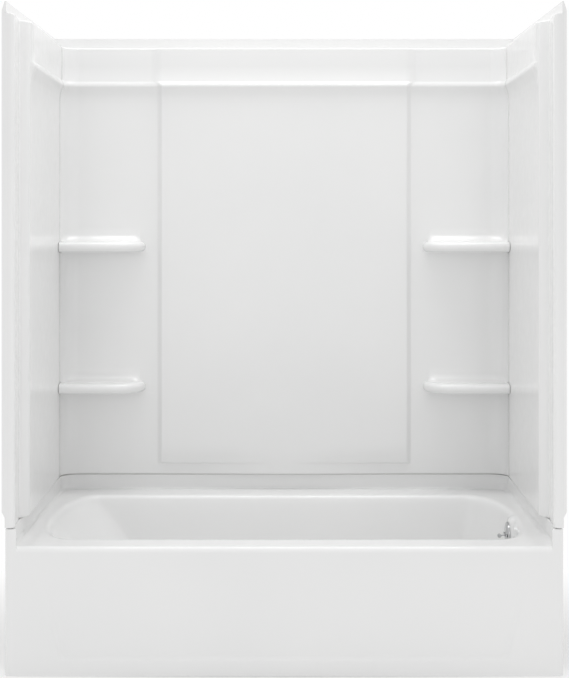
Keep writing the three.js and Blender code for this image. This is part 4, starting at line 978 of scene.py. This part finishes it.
def drain_flange():
    """Flange with a rolled edge, its neck and the two crossbars that hold the screw."""
    centre = at(DRAIN_X, DRAIN_SEAT + 0.3)
    profile = [(18, -22, 0.5), (21, -22, 0.5), (21, 0, 0.4), (35, 0, 0.3), (35, 1.4, 0.8), (32.2, 2.5, 1.2),
               (24.5, 2.2, 1.5), (20.7, 2.5, 0.3), (20.7, 0.62, 0.2), (18, 0.62, 0.3)]
    spokes = [prism(rectangle(*halves), -13, -9, "z", centre) for halves in ((19.5, 4), (2, 19.5))]
    return cut(joined(turned(profile, "z", centre, ring=True), *spokes), bar(SCREW_BORE, -20, 5, "z", centre, 32))


def strainer():
    """Round grid with eight drain holes and a dished middle."""
    z = DRAIN_SEAT + 0.3
    profile = [(0, 0.93), (20.4, 0.93, 0.3), (20.4, 2.1, 0.5), (17.5, 2.52, 1.5), (8.5, 2.52, 1.5), (5.5, 2.3, 0.5),
               (0, 2.3)]
    holes = [bar(2.6, -5, 8, "z", at(DRAIN_X + x, z, y), 40) for x, y in arc((0, 0), 13, 0, 315, 7)]
    return cut(turned(profile, "z", at(DRAIN_X, z)), *holes, bar(SCREW_BORE, -5, 8, "z", at(DRAIN_X, z), 32))


def strainer_screw():
    centre, seat = at(DRAIN_X, DRAIN_SEAT + 0.3), 2.84
    profile = [(0, -15), (2, -15, 0.5), (2, seat), (4.5, seat, 0.2), (4.5, seat + 0.5, 0.3), (2.8, seat + 1.9, 1.2),
               (0, seat + 2)]
    slots = [prism(rectangle(*halves), seat + 1.1, seat + 4, "z", centre) for halves in ((6, 0.5), (0.5, 6))]
    return cut(turned(profile, "z", centre, sides=48), *slots)


def drain_shoe():
    """Cast cup under the drain, with a beaded socket for the tube."""
    centre, here = at(DRAIN_X), at(DRAIN_X, BRANCH_Z)
    foot, floor = BRANCH_Z - WASTE.body, BRANCH_Z - WASTE.bore
    cup = turned([(0, foot), (33, foot, 5), (33, SHOE_TOP - 4, 1.5), (38, SHOE_TOP - 4, 0.8), (38, SHOE_TOP, 0.8),
                  (0, SHOE_TOP)], "z", centre)
    spout = bar(22, 0, 57, "x", here, 72, (0, 0.8))
    well = bar(24.5, floor, SHOE_TOP + 5, "z", centre, 72, (4, 0))
    return cut(joined(cup, spout), well, bar(WASTE.bore, 0, 60, "x", here), bar(SOCKET, 33, 60, "x", here))


def waste_tee():
    """Cast tee with softened ends and the plunger's seat in its foot."""
    centre, here = at(TUBE_X), at(TUBE_X, BRANCH_Z)
    body = WASTE.body
    tee = bar(body, TEE_FOOT, TEE_TOP, "z", centre, 72, (0.8, 0.8))
    branch = turned([(0, 0), (body, 0), (body, 36, 0.8), (0, 36)], "x", here, -1)
    return cut(joined(tee, branch), bar(WASTE.bore, TEE_FOOT + 5, TEE_TOP + 5, "z", centre),
               bar(12.5, TEE_FOOT - 5, TEE_TOP, "z", centre), bar(WASTE.bore, -40, 0, "x", here),
               bar(SOCKET, TEE_TOP - 12, TEE_TOP + 5, "z", centre), bar(SOCKET, -40, -28, "x", here))


def overflow_elbow():
    """Cast elbow with its flange, tapped for the two screws."""
    here = at(TUBE_X, OVERFLOW_Z)
    start, foot = FLANGE_FACE - TUBE_X, ELBOW_FOOT - OVERFLOW_Z

    def corner(radius, low, high, edge=0.0):
        ball = turned(arc((0, 0), radius, -90, 90, 32), "z", here)
        drop = bar(radius, 0, high, "z", here, 72, (0, edge))
        return joined(bar(radius, low, 0, "x", here), drop, ball)
    flange = bar(36, start, start + 5, "x", here, 72, (0.8, 1.2))
    joined(flange, corner(WASTE.body, start + 1, foot, 0.8))
    taps = [bar(SCREW_BORE, start - 5, start + 10, "x", at(TUBE_X, OVERFLOW_Z, y), 32)
            for y in (-SCREW_OUT, SCREW_OUT)]
    return cut(flange, corner(WASTE.bore, start - 5, foot - 5), bar(SOCKET, foot - 5, foot + WASTE.socket, "z", here),
               *taps)


def overflow_plate():
    """Domed plate with a rolled edge, the lever's slot, two screw holes and two ears."""
    here, wide, inner = at(PLATE_FACE, OVERFLOW_Z), 37.5, 35.9

    def dome(radius, height, angles):
        return [(radius * c, 3.0 + (height - 3.0) * s) for c, s in unit_arc(*angles, 24)]
    rim = [(wide, 0, 0.6), (inner, 0, 0.4)]
    plate = turned([*dome(wide, 9.0, (90, 0)), *rim, *dome(inner, 7.4, (0, 90))], "x", here, -1, 96)
    joined(plate, *[prism(rectangle(1, 4, shift=y), 0, 8.2, "x", here, -1) for y in (-5.5, 5.5)])
    holes = [bar(SCREW_BORE, -20, 5, "x", at(PLATE_FACE, OVERFLOW_Z, y), 32) for y in (-SCREW_OUT, SCREW_OUT)]
    return cut(plate, prism(rectangle(4.5, 7.5, 2), -1, 20, "x", here, -1), *holes,
               bar(PIN_BORE, -10, 10, "y", at(PIVOT_X, OVERFLOW_Z), 32))


def overflow_screw(side):
    """Oval-headed screw with a driver slot."""
    here = at(PLATE_FACE, OVERFLOW_Z, side * SCREW_OUT)
    seat, end = 8.61, FLANGE_FACE + 5 - PLATE_FACE
    screw = turned([(0, -end), (2, -end, 0.5), (2, seat), (4.5, seat, 0.2), (4.5, seat + 0.6, 0.3),
                    (2.6, seat + 1.9, 1.2), (0, seat + 2)], "x", here, -1, 48)
    return cut(screw, prism(rectangle(6, 0.5), seat + 1, seat + 5, "x", here, -1))


def trip_lever():
    """Lever with a round grip, a hub on its pin and a stud at the end of its arm."""
    half, tip = 2.0, ARM + 3.5
    top = rounded([(tip, 0, 0), (tip, half, 1.2), (4.5, half, 1.5), (2.9, 2.9, 1.0), (0, 3.5, 1.5), (-2.9, 2.9, 1.0),
                   (-4.5, half, 1.5), (-18.6, half, 2.5), (-20.6, 4.4, 0.5)])
    outline = [*top, *arc((-24, 0), 6.0, 62, 180, 14)]
    outline += [(a, -b) for a, b in reversed(outline[1:-1])]
    outline = [(a * cos(RISE) - b * sin(RISE), a * sin(RISE) + b * cos(RISE)) for a, b in outline]
    here = at(PIVOT_X, OVERFLOW_Z)
    lever = changed(prism(outline, -3.5, 3.5, "y", here), "BEVEL", **bevel(0.8, 3, 60))
    stud = bar(1.5, 0, 9.5, "y", at(TUBE_X - ARM * (1 - cos(RISE)), STUD_Z), 32, (0, 0.4))
    return cut(joined(lever, stud), bar(PIN_BORE, -10, 10, "y", here, 32))


def lift_rod():
    """Rod with a slotted eye for the lever's stud."""
    here = at(TUBE_X, STUD_Z)
    middle = ARM * (cos(FALL) - 1) / 2
    near, low = 4.1, PLUNGER_FOOT + 24.3 - STUD_Z
    rod = prism(rectangle(7.0, 4.5, 2.0, middle), near, near + 2.5, "y", here)
    cut(rod, prism(rectangle(4.8, 2.5, 1.5, middle), near - 5, near + 8, "y", here))
    foot = prism(rectangle(2.0, 2.75, rise=-6.25), near, near + 2.5, "y", here)
    shank = bar(2, low, -5, "z", at(TUBE_X, STUD_Z, near + 1.25), 32, (0.4, 0))
    return joined(rod, foot, shank)


def plunger():
    """Weight with a tapered seat, two turned grooves and a socket for the rod."""
    profile = [(0, 0), (10.3, 0, 0.6), (15.3, 5, 1.0)]
    for z in (12, 26):
        profile += [(15.3, z, 0.3), (14.3, z + 1, 0.4), (14.3, z + 2.5, 0.4), (15.3, z + 3.5, 0.3)]
    weight = turned([*profile, (15.3, 38, 1.0), (0, 38)], "z", at(TUBE_X, PLUNGER_FOOT))
    return cut(weight, bar(SCREW_BORE, 24, 45, "z", at(TUBE_X, PLUNGER_FOOT, 5.35), 32))


def fit(node, slot, thing, body="unit", angle=30):
    """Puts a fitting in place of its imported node."""
    thing.name = thing.data.name = f"{node}_piece"
    finish_piece(shade(thing, angle), slot, body, node)


fit("drain_flange", "chrome", drain_flange())
fit("strainer", "chrome", strainer())
fit("strainer_screw", "chrome", strainer_screw())
fit("shoe_gasket", "rubber", pipe(38, 24.5, SHOE_TOP + 0.3, SHOE_TOP + 3.3, "z", at(DRAIN_X)), angle=35)
fit("drain_shoe", "brass", drain_shoe())
fit("waste_tee", "brass", waste_tee())
for node, *ends in (("shoe_tube", DRAIN_X + 33.3, BRANCH_X + 7.7, "x", at(0, BRANCH_Z)),
                    ("overflow_tube", TEE_TOP - 11.7, ELBOW_FOOT + 23.7, "z", at(TUBE_X))):
    fit(node, "brass", pipe(WASTE.tube, WASTE.bore, *ends), angle=35)
OUTLET = at(TUBE_X, TEE_FOOT)
for name, *joint in (("upper", "z", at(TUBE_X, ELBOW_FOOT), 1, 30.0), ("lower", "z", at(TUBE_X, TEE_TOP), -1, 30.0),
                     ("branch", "x", at(BRANCH_X, BRANCH_Z), 1, 0.0)):
    fit(f"{name}_slip_nut", "chrome", slip_nut(*joint))
    fit(f"{name}_slip_washer", "rubber", slip_washer(*joint[:3]))
fit("outlet_nut", "chrome", slip_nut("z", OUTLET, 1, 30.0))
tail = [(12.5, -0.3, 0.3), (22, -0.3, 0.4), (22, -3.3, 0.4), (19, -3.3, 0.3), (19, -16.5, 0.5), (16.5, -16.5, 0.5),
        (16.5, -3.3, 0.3), (12.5, -3.3, 0.3)]
fit("tailpiece", "brass", turned(tail, "z", OUTLET, ring=True))
seat = OVERFLOW_SEAT + SKIN + 0.3
fit("overflow_gasket", "rubber", pipe(36, 27, seat, seat + 4, "x", at(0, OVERFLOW_Z)), angle=35)
fit("overflow_elbow", "brass", overflow_elbow())
fit("overflow_plate", "chrome", overflow_plate())
fit("overflow_screw_front", "chrome", overflow_screw(-1))
fit("overflow_screw_back", "chrome", overflow_screw(1))
fit("lever_pin", "spring", bar(1.5, -6.5, 6.5, "y", at(PIVOT_X, OVERFLOW_Z), 32, (0.4, 0.4)), angle=35)
fit("trip_lever", "chrome", trip_lever(), "lever")
fit("lift_rod", "brass", lift_rod(), "stopper")
fit("plunger", "brass", plunger(), "stopper")

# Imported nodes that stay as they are: material, edge width and the angle of a sharp edge
CARRIED = {"base_seal": (foam_material(), 0.5, 40), "seam_clip": (FINISHES["spring"], 0.4, 40),
           "floor_runner": (timber_material("timber_long", (0.08, 1, 1)), 2.0, 60),
           "deck_post": (timber_material("timber_upright", (1, 1, 0.08)), 2.0, 60)}
for node, thing in frame["nodes"].items():
    for start, (material, width, angle) in CARRIED.items():
        if node.startswith(start):
            thing.data.materials.clear()
            thing.data.materials.append(material)
            configured(thing.modifiers.new("edges", "BEVEL"), **bevel(width, 2, angle))


# Camera, lights and floor

WHITE = (1, 1, 1, 1)


def camera():
    data = configured(bpy.data.cameras.new("camera"), sensor_width=36.0, lens=68.12, shift_x=0.0004,
                      shift_y=-0.1829)
    bpy.context.scene.camera = configured(linked("camera", data), location=(0, -3.875, 1.256),
                                          rotation_euler=(pi / 2, 0, 0))


def area_light(name, where, target, size, power):
    data = configured(bpy.data.lights.new(name, "AREA"), shape="RECTANGLE", size=size[0], size_y=size[1],
                      energy=power)
    turn = (Vector(target) - Vector(where)).to_track_quat("-Z", "Y")
    configured(linked(name, data), location=where, rotation_euler=turn.to_euler())


def world(light):
    """Soft light from all round, and a white background for the camera and in what shines."""
    sky = bpy.data.worlds.new("studio")
    bpy.context.scene.world = sky
    kit = Wiring(sky)
    seen = kit.add("LightPath", "Is Camera Ray", {})
    for ray in ("Is Glossy Ray", "Is Transmission Ray"):
        seen = kit.add("Math", 0, {0: seen, 1: kit.add("LightPath", ray, {})}, operation="MAXIMUM")
    soft = kit.tree.nodes["Background"]
    kit.wire(soft, {"Color": WHITE, "Strength": light})
    shown = kit.add("Background", 0, {"Color": WHITE, "Strength": 1.0})
    kit.wire(kit.tree.nodes["World Output"], {0: kit.add("MixShader", 0, {0: seen, 1: soft.outputs[0], 2: shown})})


def floor():
    """White floor that takes the shadow and fades into the background away from the unit."""
    ends = (-9000, 9000)
    thing = make_object("floor", Shell().grid([[(x, y + DEPTH / 2, 0) for x in ends] for y in ends]))
    thing.location = (0, 0, -0.0006)
    kit = new_material("floor_white")
    thing.data.materials.append(kit.surface((0.9, 0.9, 0.9, 1), 0.9))
    length = kit.add("VectorMath", "Value", {0: kit.place((0.55, 0.9, 0))}, operation="LENGTH")
    glow = kit.add("Emission", 0, {"Color": WHITE, "Strength": 1.0})
    kit.wire(kit.tree.nodes["Material Output"], {0: kit.add("MixShader", 0, {
        0: kit.ranged(length, 0.0, 1.0, 0.3, 0.8), 1: kit.tree.nodes["Principled BSDF"].outputs[0], 2: glow})})


camera()
world(0.76)
area_light("front", (0, -4.8, 1.7), (0, 0, 0.9), (3.0, 3.0), 10)
area_light("above", (0, -0.1, 4.2), (0, 0, 0), (2.6, 1.2), 50)
floor()
bpy.context.scene.view_settings.view_transform = "Standard"
